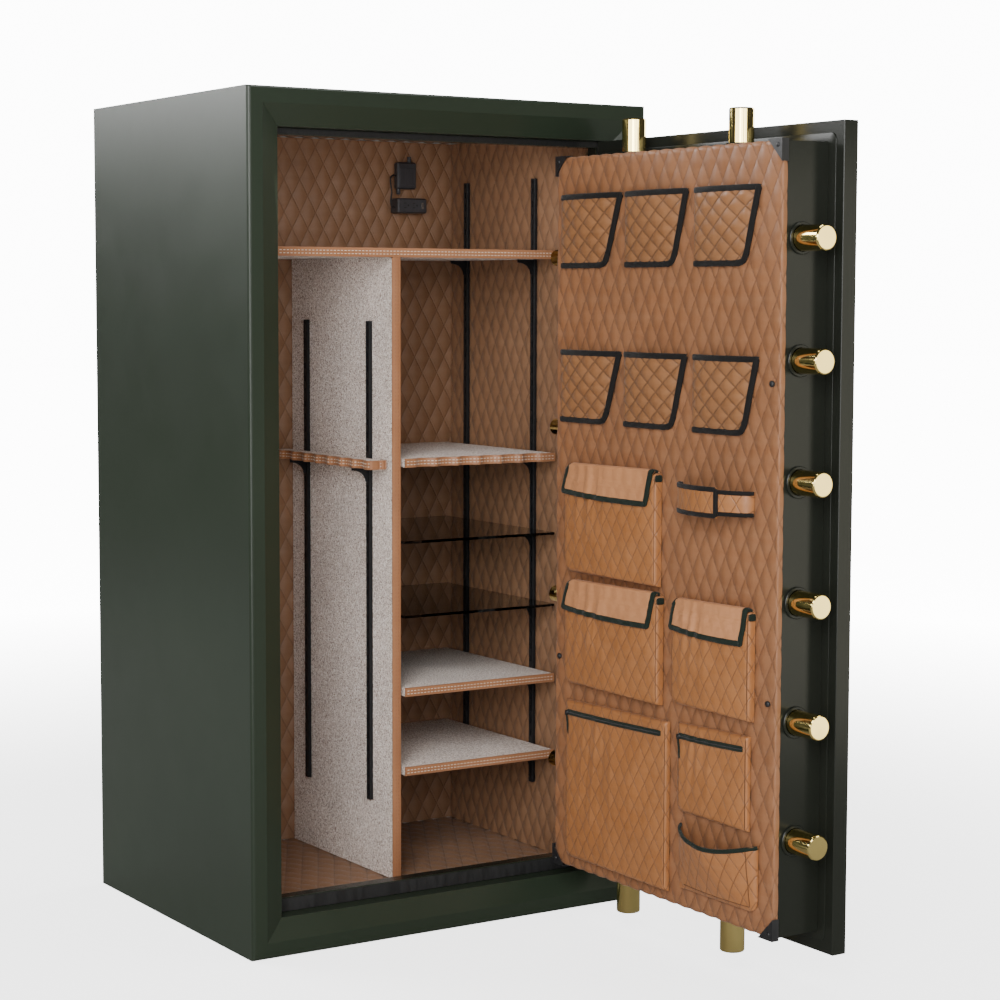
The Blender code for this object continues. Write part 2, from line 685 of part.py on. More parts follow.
def side_bolts():
    """Six round bolts on one carrier, drawn by a rack over the gear."""
    heights = side_bolt_heights()
    low, high = heights[0] - 0.028, heights[-1] + 0.028
    made = box("side_bolts", (-0.262, -0.2477, low), (-0.250, -0.2043, high), brass())
    for i, z in enumerate(heights):
        weld(made, bolt_solid(f"side_bolt_{i}", (BOLT_V, z), -0.261, BOX_LEFT - BOLT_OUT, "x"))
    pitch_line = GEAR_Z + MODULE * TEETH / 2
    points = rack_teeth(GEAR_U - 0.080, GEAR_U + 0.024, GEAR_U + math.pi * MODULE / 2, 0.0175)
    outline = [(along, pitch_line + out) for along, out in points]
    near = GEAR_BACK - LAYER
    weld(made, prism("side_rack", outline, near, GEAR_BACK, "y"))
    bar_low, bar_high = pitch_line + 0.0056, pitch_line + 0.0171
    return weld(made, box("side_rack_bar", (-0.251, near + 0.0004, bar_low), (-0.078, GEAR_BACK - 0.0004, bar_high)))


def end_bolts(name, up, tip_z, bar_z, gear_side):
    """Two bolts at the top or bottom on one carrier, with a rod and a rack beside the gear."""
    bar = sorted((bar_z, bar_z - up * 0.012))
    made = box(name, (-0.185, -0.2477, bar[0]), (0.185, -0.2043, bar[1]), brass())
    for i, u in enumerate((-END_BOLT_U, END_BOLT_U)):
        weld(made, bolt_solid(f"{name}_bolt_{i}", (u, BOLT_V), bar_z - up * 0.001, tip_z, "z"))
    pitch_line = GEAR_U + gear_side * MODULE * TEETH / 2
    ends = sorted((GEAR_Z - up * 0.024, GEAR_Z + up * 0.080))
    points = rack_teeth(ends[0], ends[1], GEAR_Z, 0.0175)
    outline = [(pitch_line + gear_side * out, along) for along, out in points]
    far = GEAR_FRONT + LAYER
    weld(made, prism(f"{name}_rack", outline, GEAR_FRONT, far, "y"))
    us = sorted((pitch_line + gear_side * 0.0056, pitch_line + gear_side * 0.0171))
    zs = sorted((GEAR_Z + up * 0.078, bar_z - up * 0.006))
    return weld(made, box(f"{name}_rod", (us[0], GEAR_FRONT + 0.0004, zs[0]), (us[1], far - 0.0004, zs[1])))


def handle():
    """The five-spoke handle on the outer face and its shaft through the door."""
    front = SLAB_FRONT
    stations = ((front - 0.046, 0.014), (front - 0.043, 0.018), (front - 0.020, 0.020), (front - 0.016, 0.030))
    stations += ((front - GAP, 0.034), (front, SHAFT_RADIUS), (GEAR_BACK + 0.004, SHAFT_RADIUS))
    made = turned("handle", (GEAR_U, GEAR_Z), stations[::-1], "y", brass())
    for i in range(5):
        angle = math.pi / 2 + 2 * math.pi * i / 5
        spoke = turned(f"spoke_{i}", (0, 0), ((0.010, 0.0065), (0.104, 0.0080)), "z", None, 12)
        knob_stations = [(0.118 - 0.016 * math.cos(a), max(0.0014, 0.016 * math.sin(a)))
                         for a in (math.radians(d) for d in (5, 35, 65, 90, 115, 145, 175))]
        knob = turned(f"knob_{i}", (0, 0), knob_stations, "z", None, 12)
        turn = Matrix.Translation((GEAR_U, front - 0.031, GEAR_Z)) @ Matrix.Rotation(math.pi / 2 - angle, 4, "Y")
        for piece in (spoke, knob):
            piece.data.transform(turn)
            weld(made, piece)
    return made


def combination_dial():
    """The numbered dial outside and its spindle into the lock."""
    front = SLAB_FRONT
    stations = ((-0.262, SPINDLE_RADIUS), (front - GAP, SPINDLE_RADIUS), (front - 2 * GAP, 0.039))
    stations += ((front - 0.006, 0.038), (front - 0.010, 0.021), (front - 0.034, 0.018), (front - 0.037, 0.015))
    return turned("combination_dial", (GEAR_U, LOCK_Z), stations, "y", black_steel())


def lock_body():
    """The lock case on the inside of the door, with the channel its bolt slides in."""
    near = SLAB_BACK - LIP + GAP
    made = box("lock_body", (-0.032, near, LOCK_Z - 0.045), (0.032, near + 0.030, LOCK_Z + 0.045), grey_steel())
    spindle = ((near - 0.01, SPINDLE_RADIUS + SLACK), (near + 0.024, SPINDLE_RADIUS + SLACK))
    cut(made, turned("lock_spindle_hole", (GEAR_U, LOCK_Z), spindle, "y", None, 12))
    low = (-0.040, near + 0.008, LOCK_Z - 0.0375)
    return cut(made, box("lock_bolt_channel", low, (-0.004, near + 0.022, LOCK_Z - 0.0125)))


def lock_bolt():
    near = SLAB_BACK - LIP + GAP
    low = (-0.035, near + 0.0085, LOCK_Z - 0.0370)
    return box("lock_bolt", low, (-0.0045, near + 0.0215, LOCK_Z - 0.0130), brass())


# ---------------------------------------------------------------- pockets


def sheet_solid(name, rows, paint):
    """A closed skin from a grid of (back point, front point) pairs."""
    bm = bmesh.new()
    back = [[bm.verts.new(pair[0]) for pair in row] for row in rows]
    front = [[bm.verts.new(pair[1]) for pair in row] for row in rows]
    tall, wide = len(rows), len(rows[0])
    for j in range(tall - 1):
        for i in range(wide - 1):
            bm.faces.new((back[j][i], back[j + 1][i], back[j + 1][i + 1], back[j][i + 1]))
            bm.faces.new((front[j][i], front[j][i + 1], front[j + 1][i + 1], front[j + 1][i]))
    rim = [(0, i) for i in range(wide)] + [(j, wide - 1) for j in range(1, tall)]
    rim += [(tall - 1, i) for i in range(wide - 2, -1, -1)] + [(j, 0) for j in range(tall - 2, 0, -1)]
    for k in range(len(rim)):
        (j0, i0), (j1, i1) = rim[k], rim[(k + 1) % len(rim)]
        bm.faces.new((back[j0][i0], back[j1][i1], front[j1][i1], front[j0][i0]))
    return finish(name, bm, paint)


def arch(s, power=0.5):
    return max(0.0, math.sin(math.pi * s)) ** power


def open_pocket(name, left, right_top, right_bottom, bottom, top, swell, dip, thick, across=12, up=8):
    """A pocket sewn down on three sides whose front sheet stands off the panel at the mouth."""
    rows = []
    for j in range(up + 1):
        t = j / up
        right = right_bottom + (right_top - right_bottom) * t
        row = []
        for i in range(across + 1):
            s = i / across
            z = bottom + (top - dip * arch(s, 1.0) - bottom) * t
            u = left + (right - left) * s
            stand = swell * arch(s, 0.6) * t ** 0.75
            v = PANEL_FACE + GAP + stand
            row.append(((u, v, z), (u, v + thick, z)))
        rows.append(row)
    return sheet_solid(name, rows, pocket_leather())


def closed_pocket(name, left, right, bottom, top, edge, swell, flap_bottom=None, across=12, up=10):
    """A full pocket, shut by a flap or a zip, as the solid shape it takes up."""
    levels = [j / up for j in range(up + 1)]
    if flap_bottom is not None:
        t_flap = (flap_bottom - bottom) / (top - bottom)
        levels = [t for t in levels if abs(t - t_flap) > 0.03] + [t_flap - 0.012, t_flap]
        levels.sort()
    rows = []
    for t in levels:
        row = []
        for i in range(across + 1):
            s = i / across
            z = bottom + (top - bottom) * t
            u = left + (right - left) * s
            stand = edge + swell * arch(s, 0.45) * arch(0.06 + 0.88 * t, 0.45)
            if flap_bottom is not None and t >= t_flap - 1e-9:
                stand += 0.0035
            row.append(((u, PANEL_FACE + GAP, z), (u, PANEL_FACE + GAP + stand, z)))
        rows.append(row)
    return sheet_solid(name, rows, pocket_leather())


def long_gun_strap():
    """A padded band that arches off the panel, its two ends lapped over each other."""
    left, right, bottom, top = -0.060, -0.249, 0.787, 0.837
    rows = []
    for z in (bottom, top):
        row = []
        for i in range(25):
            s = i / 24
            u = left + (right - left) * s
            v = PANEL_FACE + GAP + 0.036 * arch(s, 0.5)
            thick = 0.0035 if s > 0.72 else 0.0065
            row.append(((u, v, z), (u, v + thick, z)))
        rows.append(row)
    return sheet_solid("long_gun_strap", rows, pocket_leather())


def pockets():
    made = []
    columns = ((0.308, 0.121, 0.170), (0.1125, -0.0675, -0.0265), (-0.0840, -0.2585, -0.2195))
    rows = (("upper", 1.1975, 1.3260), ("lower", 0.9210, 1.0495))
    for row, bottom, top in rows:
        for i, (left, right_top, right_bottom) in enumerate(columns):
            name = f"holster_{row}_{i + 1}"
            made.append(open_pocket(name, left, right_top, right_bottom, bottom, top, 0.016, 0.0, 0.003))
    made.append(closed_pocket("flap_pocket_upper", 0.288, 0.002, 0.650, 0.846, 0.008, 0.016, 0.791))
    made.append(closed_pocket("flap_pocket_lower", 0.286, -0.006, 0.446, 0.6355, 0.008, 0.016, 0.580))
    made.append(closed_pocket("flap_pocket_small", -0.035, -0.255, 0.455, 0.6365, 0.008, 0.014, 0.582))
    made.append(closed_pocket("zip_pocket_large", 0.286, -0.028, 0.125, 0.421, 0.006, 0.010))
    made.append(closed_pocket("zip_pocket_small", -0.050, -0.247, 0.271, 0.430, 0.006, 0.008))
    made.append(open_pocket("butt_pocket", -0.063, -0.270, -0.268, 0.140, 0.252, 0.038, 0.018, 0.0035, 14, 8))
    made.append(long_gun_strap())
    return made


# --------------------------------------------------------------- assembly


def build():
    clear_scene()
    body_shell()
    strike_frame()
    frame_seal()
    fireboard_liner()
    linings()
    divider_panel()
    shelves()
    standards()
    power_kit()
    for name, z in (("lower", HINGE_LOW_Z), ("upper", HINGE_HIGH_Z)):
        cabinet_hinge(f"hinge_block_{name}", z)
    door = [door_slab(), slab_fireboard(), bolt_box(), door_panel()]
    for name, z in (("lower", HINGE_LOW_Z), ("upper", HINGE_HIGH_Z)):
        door.append(door_hinge(f"hinge_leaf_{name}", z))
    for side, u, out_u in (("free", PANEL_LEFT, -1), ("hinge", PANEL_RIGHT, 1)):
        for end, z, out_z in (("bottom", PANEL_BOTTOM, -1), ("top", PANEL_TOP, 1)):
            door.append(corner_bracket(f"corner_bracket_{side}_{end}", u, z, out_u, out_z))
    door += [hinge_side_bolts(), side_bolts()]
    door.append(end_bolts("top_bolts", 1, BOX_TOP + BOLT_OUT, 1.338, 1))
    door.append(end_bolts("bottom_bolts", -1, BOX_BOTTOM - BOLT_OUT, 0.163, -1))
    door += [drive_gear(), handle(), combination_dial(), lock_body(), lock_bolt()]
    door += pockets()
    swing_open(*door)


build()
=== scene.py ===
"""The looks of the gun safe: materials, quilting, pockets, trim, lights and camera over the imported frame."""

import math

import bmesh
import bpy
import numpy as np
from mathutils import Matrix, Vector


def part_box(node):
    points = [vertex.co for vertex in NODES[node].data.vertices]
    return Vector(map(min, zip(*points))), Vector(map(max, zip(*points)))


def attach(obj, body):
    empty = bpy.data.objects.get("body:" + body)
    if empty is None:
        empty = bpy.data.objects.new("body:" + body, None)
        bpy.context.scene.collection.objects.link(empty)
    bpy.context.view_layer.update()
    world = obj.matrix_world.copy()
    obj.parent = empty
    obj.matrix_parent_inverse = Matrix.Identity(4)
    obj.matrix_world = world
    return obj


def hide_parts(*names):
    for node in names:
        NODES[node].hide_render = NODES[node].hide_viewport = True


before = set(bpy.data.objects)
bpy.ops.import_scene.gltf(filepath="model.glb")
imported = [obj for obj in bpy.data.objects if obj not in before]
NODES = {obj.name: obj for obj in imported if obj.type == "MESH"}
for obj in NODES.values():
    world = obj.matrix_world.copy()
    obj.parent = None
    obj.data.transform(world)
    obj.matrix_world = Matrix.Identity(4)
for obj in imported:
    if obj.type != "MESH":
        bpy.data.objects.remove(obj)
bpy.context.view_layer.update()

# Quilting: width and height of a diamond, and how deep its seams sink
PANEL_DIAMOND = (0.0355, 0.065)
POCKET_DIAMOND = (0.030, 0.045)
HOLSTER_DIAMOND = (0.041, 0.032)
PANEL_SEAM_DEPTH = 0.0036
POCKET_SEAM_DEPTH = 0.0012
HOLSTER_SEAM_DEPTH = 0.0036
HOLSTER_THICK = 0.0048
HOLSTER_RIM = 0.0022
HOLSTER_CORNER = 0.024
BUTT_THICK = 0.0035
BUTT_DIP = 0.018
BUTT_CORNER = 0.020
STEPS_PER_HALF_DIAMOND = 5

# How round a diamond's cushion is: the power that its height is raised to
PANEL_ROUNDNESS = 0.62
HOLSTER_ROUNDNESS = 0.6
POCKET_ROUNDNESS = 0.45

# The door panel's rounded edge, and the share of the quilting's depth that is lost round it
PANEL_EDGE = 0.0045
PANEL_EDGE_FADE = 0.55

# Sewn edges
STITCH_PITCH = 0.0074
STITCH_LONG = 0.0052
STITCH_THICK = 0.0013
STITCH_ROWS = 0.0056
BAND_PROUD = 0.0008
BAND_SWELL = 0.0007
BAND_LIP = 0.0026
BINDING_WIDE = 0.0105
BINDING_THICK = 0.0046
PATH_SMOOTHING = 5
TAPE_END = 0.82
TAPE_WALE = 0.0011
LEATHER_GRAIN = 420.0

# A stitch's cross-sections: share of its length, share of its thickness, lift in half thicknesses
STITCH_SECTIONS = (
    (0.0, 0.35, -0.9), (0.18, 0.9, 0.1), (0.5, 1.0, 0.45), (0.82, 0.9, 0.1), (1.0, 0.35, -0.9),
)

# Closed pockets: how far the left wall leans in, the lower left corner's radius, its lift, the mouth's droop
POCKET_LEAN = 0.012
POCKET_CORNER = 0.016
POCKET_LIFT = 0.006
POCKET_DROOP = 0.006
POCKET_EDGE = 0.004
WELT_INSET = 0.0030
WELT_STEPS = 40
WELT_THICK = 0.0017

# Cloth simulation of the closed pockets: kPa within, spare cloth, and the furthest that a point may move
CLOTH_PRESSURE = 4.0
CLOTH_SPARE = -0.006
CLOTH_CAP = 0.008
CLOTH_FRAMES = 20
CLOTH_QUALITY = 6
CLOTH_MASS = 0.3
CLOTH_STIFF = 25.0
CLOTH_BEND = 1.0

# Folds in the pockets' fronts: share of the width at the mouth, lean to the left, width and depth in metres
FOLDS = (
    (0.14, 0.08, 0.0050, -0.0012),
    (0.22, 0.10, 0.0045, 0.0018),
    (0.29, 0.12, 0.0040, -0.0020),
    (0.35, 0.10, 0.0045, 0.0022),
    (0.42, 0.07, 0.0050, -0.0016),
    (0.50, 0.04, 0.0060, 0.0013),
)

# Flaps: share that lies over the pocket's top, stand-off, thickness, and the share where the front starts
FLAP_FOLD = 0.34
FLAP_STAND = 0.0035
FLAP_THICK = 0.0022
FLAP_FRONT = 0.93

# Zips: how far below the pocket's top, share of the width they cover, steps along them, width of the tape
ZIP_BELOW = 0.021
ZIP_COVERS = 0.955
ZIP_STEPS = 40
ZIP_TAPE = 0.0105

# The strap: where its outer half ends, and how far each half stands off
STRAP_LAP = 0.72
STRAP_OVER = 0.0065
STRAP_UNDER = 0.0035
STRAP_SEAM_DEPTH = 0.0011
STRAP_RIM = 0.0010

# Creases in the flaps: share of the width, width as a share, depth in metres
FLAP_CREASES = (
    (0.30, 0.022, 0.0022),
    (0.36, 0.018, -0.0013),
    (0.43, 0.024, 0.0020),
    (0.78, 0.060, 0.0008),
)

# Bolts and round parts
ROUND = 64
BOLT_CHAMFER = 0.0026
BOLT_RADIUS = 0.021
BOLT_OUT = 0.062
BOLT_SHOWN = 0.066
COLLAR_RADIUS = 0.0262
COLLAR_HIGH = 0.0042
BOLT_X = 0.240
BOLT_MID_Z = 0.7525
BOLT_PITCH = 0.1956
END_BOLT_MIDDLE_Y = -0.678
END_BOLT_APART = 0.150

# The dial: radius of its rim, how far the rim lies behind the tip, slope of the face, where its numbers sit
DIAL_RIM = 0.038
DIAL_RIM_BACK = 0.031
DIAL_SLOPE = 0.004 / 0.017
DIAL_NUMBERS = 0.0268
DIAL_MARKS = 50
DIAL_FLUTES = 24

# Slots in the shelf uprights
SLOT_PITCH = 0.025
SLOT_LONG = 0.012
SLOT_WIDE = 0.0034
CHANNEL_DEEP = 0.0075
CHANNEL_SHEET = 0.0016

# Gusset brackets: reach, height, half thickness and how far the curve starts from the upright
GUSSET_REACH = 0.034
GUSSET_TALL = 0.028
GUSSET_HALF = 0.0015
GUSSET_LEG = 0.004
GUSSET_SEAT = 0.006

# The power adapter's case and the lead's thickness
ADAPTER_LEFT = 0.2285
ADAPTER_RIGHT = 0.273
ADAPTER_LOW = 1.364
ADAPTER_HIGH = 1.4185
LEAD_DIAMETER = 0.0032

# The lead's route: X, distance from the rear wall, Z
LEAD_ROUTE = (
    (0.2282, -0.010, 1.3905), (0.2225, -0.010, 1.3920), (0.2160, -0.011, 1.3880), (0.2140, -0.012, 1.3800),
    (0.2155, -0.012, 1.3690), (0.2165, -0.013, 1.3580), (0.2145, -0.014, 1.3470), (0.2130, -0.015, 1.3380),
    (0.2145, -0.015, 1.3300), (0.2180, -0.015, 1.3270), (0.2207, -0.015, 1.3268),
)

# Studio: where the floor starts to glow into the backdrop, and how strong the room's own light is
FLOOR_NEAR = 1.2
FLOOR_FAR = 4.2
FLOOR_GLOW = 2.6
BACKDROP = 10.0
WORLD_LIGHT = 0.32
WORLD_GLOSS = 0.05

# Soft boxes: name, place, target, width, height, watts, whether they light matt surfaces as well
SOFT_BOXES = (
    ("key", (-3.6, -4.4, 3.6), (0.0, -0.5, 0.8), 2.6, 2.2, 200, True),
    ("front_fill", (-1.5, -5.6, 1.35), (0.0, 0.0, 0.9), 2.2, 2.2, 52, True),
    ("edge_light", (-3.15, -3.95, 1.20), (0.3, -0.9, 0.8), 0.9, 2.4, 62, True),
    ("bolt_glint", (1.26, -2.22, 0.80), (0.25, -1.0, 0.78), 0.42, 1.36, 5.6, True),
    ("bolt_card", (-2.7, -4.2, 1.80), (0.3, -0.8, 1.45), 2.6, 0.6, 40, True),
    ("bolt_card_left", (-3.6, -1.9, 1.80), (0.3, -0.8, 1.45), 3.4, 0.6, 40, False),
    ("bolt_card_right", (0.0, -5.2, 1.80), (0.3, -0.8, 1.45), 2.0, 0.6, 24, False),
    ("left_bay", (-0.315, -0.28, 0.75), (-0.03, -0.10, 0.78), 0.08, 1.20, 0.5, True),
    ("right_side", (4.6, 0.6, 2.4), (0.4, -0.2, 0.7), 2.4, 2.4, 210, True),
    ("side_strip", (-2.6, 4.3, 3.1), (-0.4, 0.0, 1.4), 3.6, 2.2, 330, True),
    ("top", (0.6, -0.9, 3.8), (0.3, -0.9, 0.0), 1.6, 1.6, 36, True),
    ("upper_bay", (0.0, -0.12, 1.405), (0.02, 0.05, 1.0), 0.60, 0.22, 0.75, True),
)
GLINT_COLOUR = (1.0, 0.95, 0.78)

# Camera: place, heading from +Y towards +X, tilt below level, roll, lens on a 36 mm sensor
CAMERA_PLACE = (-2.2042, -3.8920, 1.1513)
CAMERA_HEADING = 32.785
CAMERA_TILT = 5.017
CAMERA_ROLL = 0.155
CAMERA_LENS = 84.486
SENSOR = 36.0


# ------------------------------------------------------------------ shader building


class Shader:
    """One material and short calls for the nodes that feed its Principled shader."""

    def __init__(self, name, colour, roughness, **values):
        self.material = bpy.data.materials.new(name)
        self.material.use_nodes = True
        self.material.diffuse_color = (*colour, 1.0)
        self.tree = self.material.node_tree
        self.shader = self.tree.nodes["Principled BSDF"]
        self.set("Base Color", (*colour, 1.0))
        self.set("Roughness", roughness)
        for socket, value in values.items():
            self.set(socket.replace("_", " "), value)
        self.place = self.node("ShaderNodeTexCoord").outputs["Object"]

    def set(self, socket, value):
        self.shader.inputs[socket].default_value = value

    def feed(self, socket, output):
        self.tree.links.new(output, self.shader.inputs[socket])

    def node(self, kind, **settings):
        made = self.tree.nodes.new(kind)
        for key, value in settings.items():
            setattr(made, key, value)
        return made

    def link(self, source, target):
        if isinstance(source, (int, float, tuple)):
            target.default_value = source
        else:
            self.tree.links.new(source, target)

    def maths(self, operation, *values):
        made = self.node("ShaderNodeMath", operation=operation)
        for value, socket in zip(values, made.inputs):
            self.link(value, socket)
        return made.outputs[0]

    def flat(self):
        """The piece's flat cloth coordinates in metres."""
        return self.node("ShaderNodeUVMap", uv_map="cloth").outputs[0]

    def scaled(self, vector, scale):
        made = self.node("ShaderNodeMapping")
        self.link(vector, made.inputs["Vector"])
        made.inputs["Scale"].default_value = scale
        return made.outputs[0]

    def noise(self, vector, scale, detail=2.0, roughness=0.5):
        made = self.node("ShaderNodeTexNoise")
        self.link(vector, made.inputs["Vector"])
        made.inputs["Scale"].default_value = scale
        made.inputs["Detail"].default_value = detail
        made.inputs["Roughness"].default_value = roughness
        return made.outputs[0]

    def cells(self, vector, scale, feature="DISTANCE_TO_EDGE"):
        made = self.node("ShaderNodeTexVoronoi", feature=feature)
        self.link(vector, made.inputs["Vector"])
        made.inputs["Scale"].default_value = scale
        return made.outputs["Distance"]

    def waves(self, vector, scale, direction="X"):
        made = self.node("ShaderNodeTexWave", bands_direction=direction)
        self.link(vector, made.inputs["Vector"])
        made.inputs["Scale"].default_value = scale
        return made.outputs["Fac"]

    def ramp(self, value, *stops):
        made = self.node("ShaderNodeValToRGB")
        self.link(value, made.inputs[0])
        points = made.color_ramp.elements
        while len(points) < len(stops):
            points.new(0.5)
        for point, (position, colour) in zip(points, stops):
            point.position = position
            point.color = (*colour, 1.0) if isinstance(colour, tuple) else (colour, colour, colour, 1.0)
        return made.outputs[0]

    def span(self, value, low, high, to_low, to_high):
        made = self.node("ShaderNodeMapRange")
        self.link(value, made.inputs["Value"])
        for key, number in zip(("From Min", "From Max", "To Min", "To Max"), (low, high, to_low, to_high)):
            made.inputs[key].default_value = number
        return made.outputs["Result"]

    def blend(self, share, one, other, how="MIX"):
        made = self.node("ShaderNodeMix", data_type="RGBA", blend_type=how)
        self.link(share, made.inputs["Factor"])
        self.link((*one, 1.0) if isinstance(one, tuple) else one, made.inputs["A"])
        self.link((*other, 1.0) if isinstance(other, tuple) else other, made.inputs["B"])
        return made.outputs["Result"]

    def bump(self, height, distance, strength=1.0, below=None):
        made = self.node("ShaderNodeBump")
        made.inputs["Strength"].default_value = strength
        made.inputs["Distance"].default_value = distance
        self.link(height, made.inputs["Height"])
        if below is not None:
            self.link(below, made.inputs["Normal"])
        return made.outputs[0]


def colour_of(red, green, blue):
    """A linear colour from 0-255 screen values."""
    return tuple(((c / 255 + 0.055) / 1.055) ** 2.4 if c > 10 else c / 3295 for c in (red, green, blue))


def mixed(colour, other, share):
    return tuple(a + (b - a) * share for a, b in zip(colour, other))


def shaded(colour, factor):
    return tuple(c * factor for c in colour)


def gloss_paint(name, colour, roughness, coat, specular=0.22):
    """Powder coat under a clear coat: faint orange peel, clouding and rubbed patches."""
    made = Shader(name, colour, roughness, Coat_Weight=coat, Coat_Roughness=0.20)
    made.set("Specular IOR Level", specular)
    cloud = made.noise(made.place, 2.2, 3.0)
    fleck = made.noise(made.place, 900.0, 1.0)
    tone = made.ramp(cloud, (0.3, shaded(colour, 0.95)), (0.7, shaded(colour, 1.06)))
    made.feed("Base Color", made.blend(made.span(fleck, 0.35, 0.75, 0.0, 0.05), tone, shaded(colour, 2.0)))
    rubbed = made.noise(made.place, 11.0, 4.0)
    made.feed("Roughness", made.span(rubbed, 0.3, 0.7, roughness * 0.95, roughness * 1.07))
    made.feed("Normal", made.bump(made.noise(made.place, 260.0, 2.0), 0.00012, 0.35))
    return made.material


def polished_metal(name, colour, roughness, grain):
    """Turned and polished metal with hair-fine marks and fingerprints in its gloss."""
    made = Shader(name, colour, roughness, Metallic=1.0)
    smudge = made.noise(made.place, 38.0, 5.0, 0.6)
    made.feed("Roughness", made.span(smudge, 0.35, 0.8, roughness * 0.7, roughness * 1.9))
    cloud = made.noise(made.place, 16.0, 3.0)
    made.feed("Base Color", made.ramp(cloud, (0.3, shaded(colour, 0.92)), (0.7, shaded(colour, 1.04))))
    made.feed("Normal", made.bump(made.noise(made.scaled(made.place, grain), 1.0, 2.0), 0.00003, 0.25))
    return made.material


def leather_bump(made, vector):
    """Pebbled grain with fine creases between the pebbles."""
    pebble = made.cells(vector, LEATHER_GRAIN)
    soft = made.noise(vector, LEATHER_GRAIN * 0.35, 3.0)
    height = made.maths("ADD", made.maths("MULTIPLY", pebble, 0.8), made.maths("MULTIPLY", soft, 0.6))
    return made.bump(height, 0.00022, 0.45)


def leather(name, colour, roughness=0.5, seams=None, painted_seam_shade=0.5, thread=None, seam_wide=0.0025):
    """Soft tan leather in flat cloth coordinates, with sewn diamond seams where asked, and painted shade that
    darkens the leather towards each seam's crease.
    """
    made = Shader(name, colour, roughness, Sheen_Weight=0.08, Sheen_Roughness=0.4)
    made.set("Specular IOR Level", 0.42)
    vector = made.flat()
    cloud = made.noise(vector, 9.0, 4.0, 0.55)
    streak = made.noise(made.scaled(vector, (3.0, 26.0, 1.0)), 2.5, 3.0)
    tone = made.ramp(cloud, (0.28, shaded(colour, 0.88)), (0.5, colour), (0.74, shaded(colour, 1.10)))
    faded = mixed(colour, (0.70, 0.48, 0.30), 0.30)
    tone = made.blend(made.span(streak, 0.35, 0.75, 0.0, 0.16), tone, faded)
    normal = leather_bump(made, vector)
    if seams:
        axes = made.node("ShaderNodeSeparateXYZ")
        made.link(vector, axes.inputs[0])
        across = made.maths("DIVIDE", axes.outputs[0], seams[0] / 2)
        along = made.maths("DIVIDE", axes.outputs[1], seams[1] / 2)
        one = made.maths("ADD", across, along)
        other = made.maths("SUBTRACT", across, along)
        steep = math.hypot(2 / seams[0], 2 / seams[1])
        near_one = fold_distance(made, one)
        near_other = fold_distance(made, other)
        nearest = made.maths("DIVIDE", made.maths("MINIMUM", near_one, near_other), steep)
        # Painted shade: the leather's colour is darkened close to each seam, standing for the shade that falls
        # in the seam's crease.
        shade = made.span(nearest, 0.0, seam_wide, painted_seam_shade, 1.0)
        tone = made.blend(1.0, tone, made.ramp(shade, (0.0, 0.0), (1.0, 1.0)), "MULTIPLY")
        both = [dash(made, near_one, other, steep), dash(made, near_other, one, steep)]
        dashes = made.maths("MAXIMUM", *both)
        tone = made.blend(dashes, tone, thread or shaded(colour, 0.7))
        normal = made.bump(made.span(nearest, 0.0, seam_wide, 0.0, 1.0), 0.0010, 0.7, normal)
        normal = made.bump(dashes, 0.0004, 0.5, normal)
    made.feed("Base Color", tone)
    handled = made.noise(vector, 60.0, 4.0)
    made.feed("Roughness", made.span(handled, 0.3, 0.75, roughness - 0.08, roughness + 0.14))
    made.feed("Normal", normal)
    return made.material


def fold_distance(made, value):
    """0 on a seam, where value is an odd whole number, and 1 halfway between two seams."""
    share = made.maths("FRACT", made.maths("DIVIDE", value, 2.0))
    return made.maths("MULTIPLY", made.maths("ABSOLUTE", made.maths("SUBTRACT", share, 0.5)), 2.0)


def dash(made, near, along, steep):
    """Stitches along a seam: 1 on the thread."""
    thin = made.maths("LESS_THAN", near, 0.00050 * steep)
    on = made.maths("LESS_THAN", made.maths("FRACT", made.maths("MULTIPLY", along, 7.0)), 0.62)
    return made.maths("MULTIPLY", thin, on)


def woven_tape(name, colour):
    """Ribbed binding tape: ribs across the tape and a fine thread crossing them."""
    made = Shader(name, colour, 0.78, Sheen_Weight=0.10, Sheen_Roughness=0.35)
    made.set("Specular IOR Level", 0.25)
    vector = made.flat()
    ribs = made.waves(vector, 0.32 / TAPE_WALE, "X")
    threads = made.waves(vector, 0.32 / (TAPE_WALE * 1.6), "Y")
    weave = made.maths("MULTIPLY", ribs, threads)
    lint = made.noise(vector, 160.0, 4.0)
    tone = made.ramp(weave, (0.0, shaded(colour, 0.55)), (1.0, shaded(colour, 1.35)))
    made.feed("Base Color", made.blend(made.span(lint, 0.62, 0.9, 0.0, 0.16), tone, shaded(colour, 1.8)))
    made.feed("Normal", made.bump(weave, 0.00035, 0.8))
    return made.material


def speckled_carpet(name, dark, middle, pale):
    """Short grey-beige loop pile in three yarn colours."""
    made = Shader(name, middle, 0.95, Sheen_Weight=0.25, Sheen_Roughness=0.6)
    made.set("Specular IOR Level", 0.1)
    fine = made.noise(made.place, 430.0, 1.0, 0.5)
    coarse = made.noise(made.place, 230.0, 2.0, 0.6)
    yarn = made.maths("ADD", made.maths("MULTIPLY", fine, 0.62), made.maths("MULTIPLY", coarse, 0.38))
    tone = made.ramp(yarn, (0.39, dark), (0.47, middle), (0.54, shaded(middle, 1.12)), (0.61, pale))
    patch = made.ramp(made.noise(made.place, 7.0, 2.0), (0.3, 0.9), (0.7, 1.05))
    made.feed("Base Color", made.blend(1.0, tone, patch, "MULTIPLY"))
    tuft = made.maths("ADD", made.cells(made.place, 330.0, "F1"), fine)
    made.feed("Normal", made.bump(tuft, 0.0016, 0.9))
    return made.material


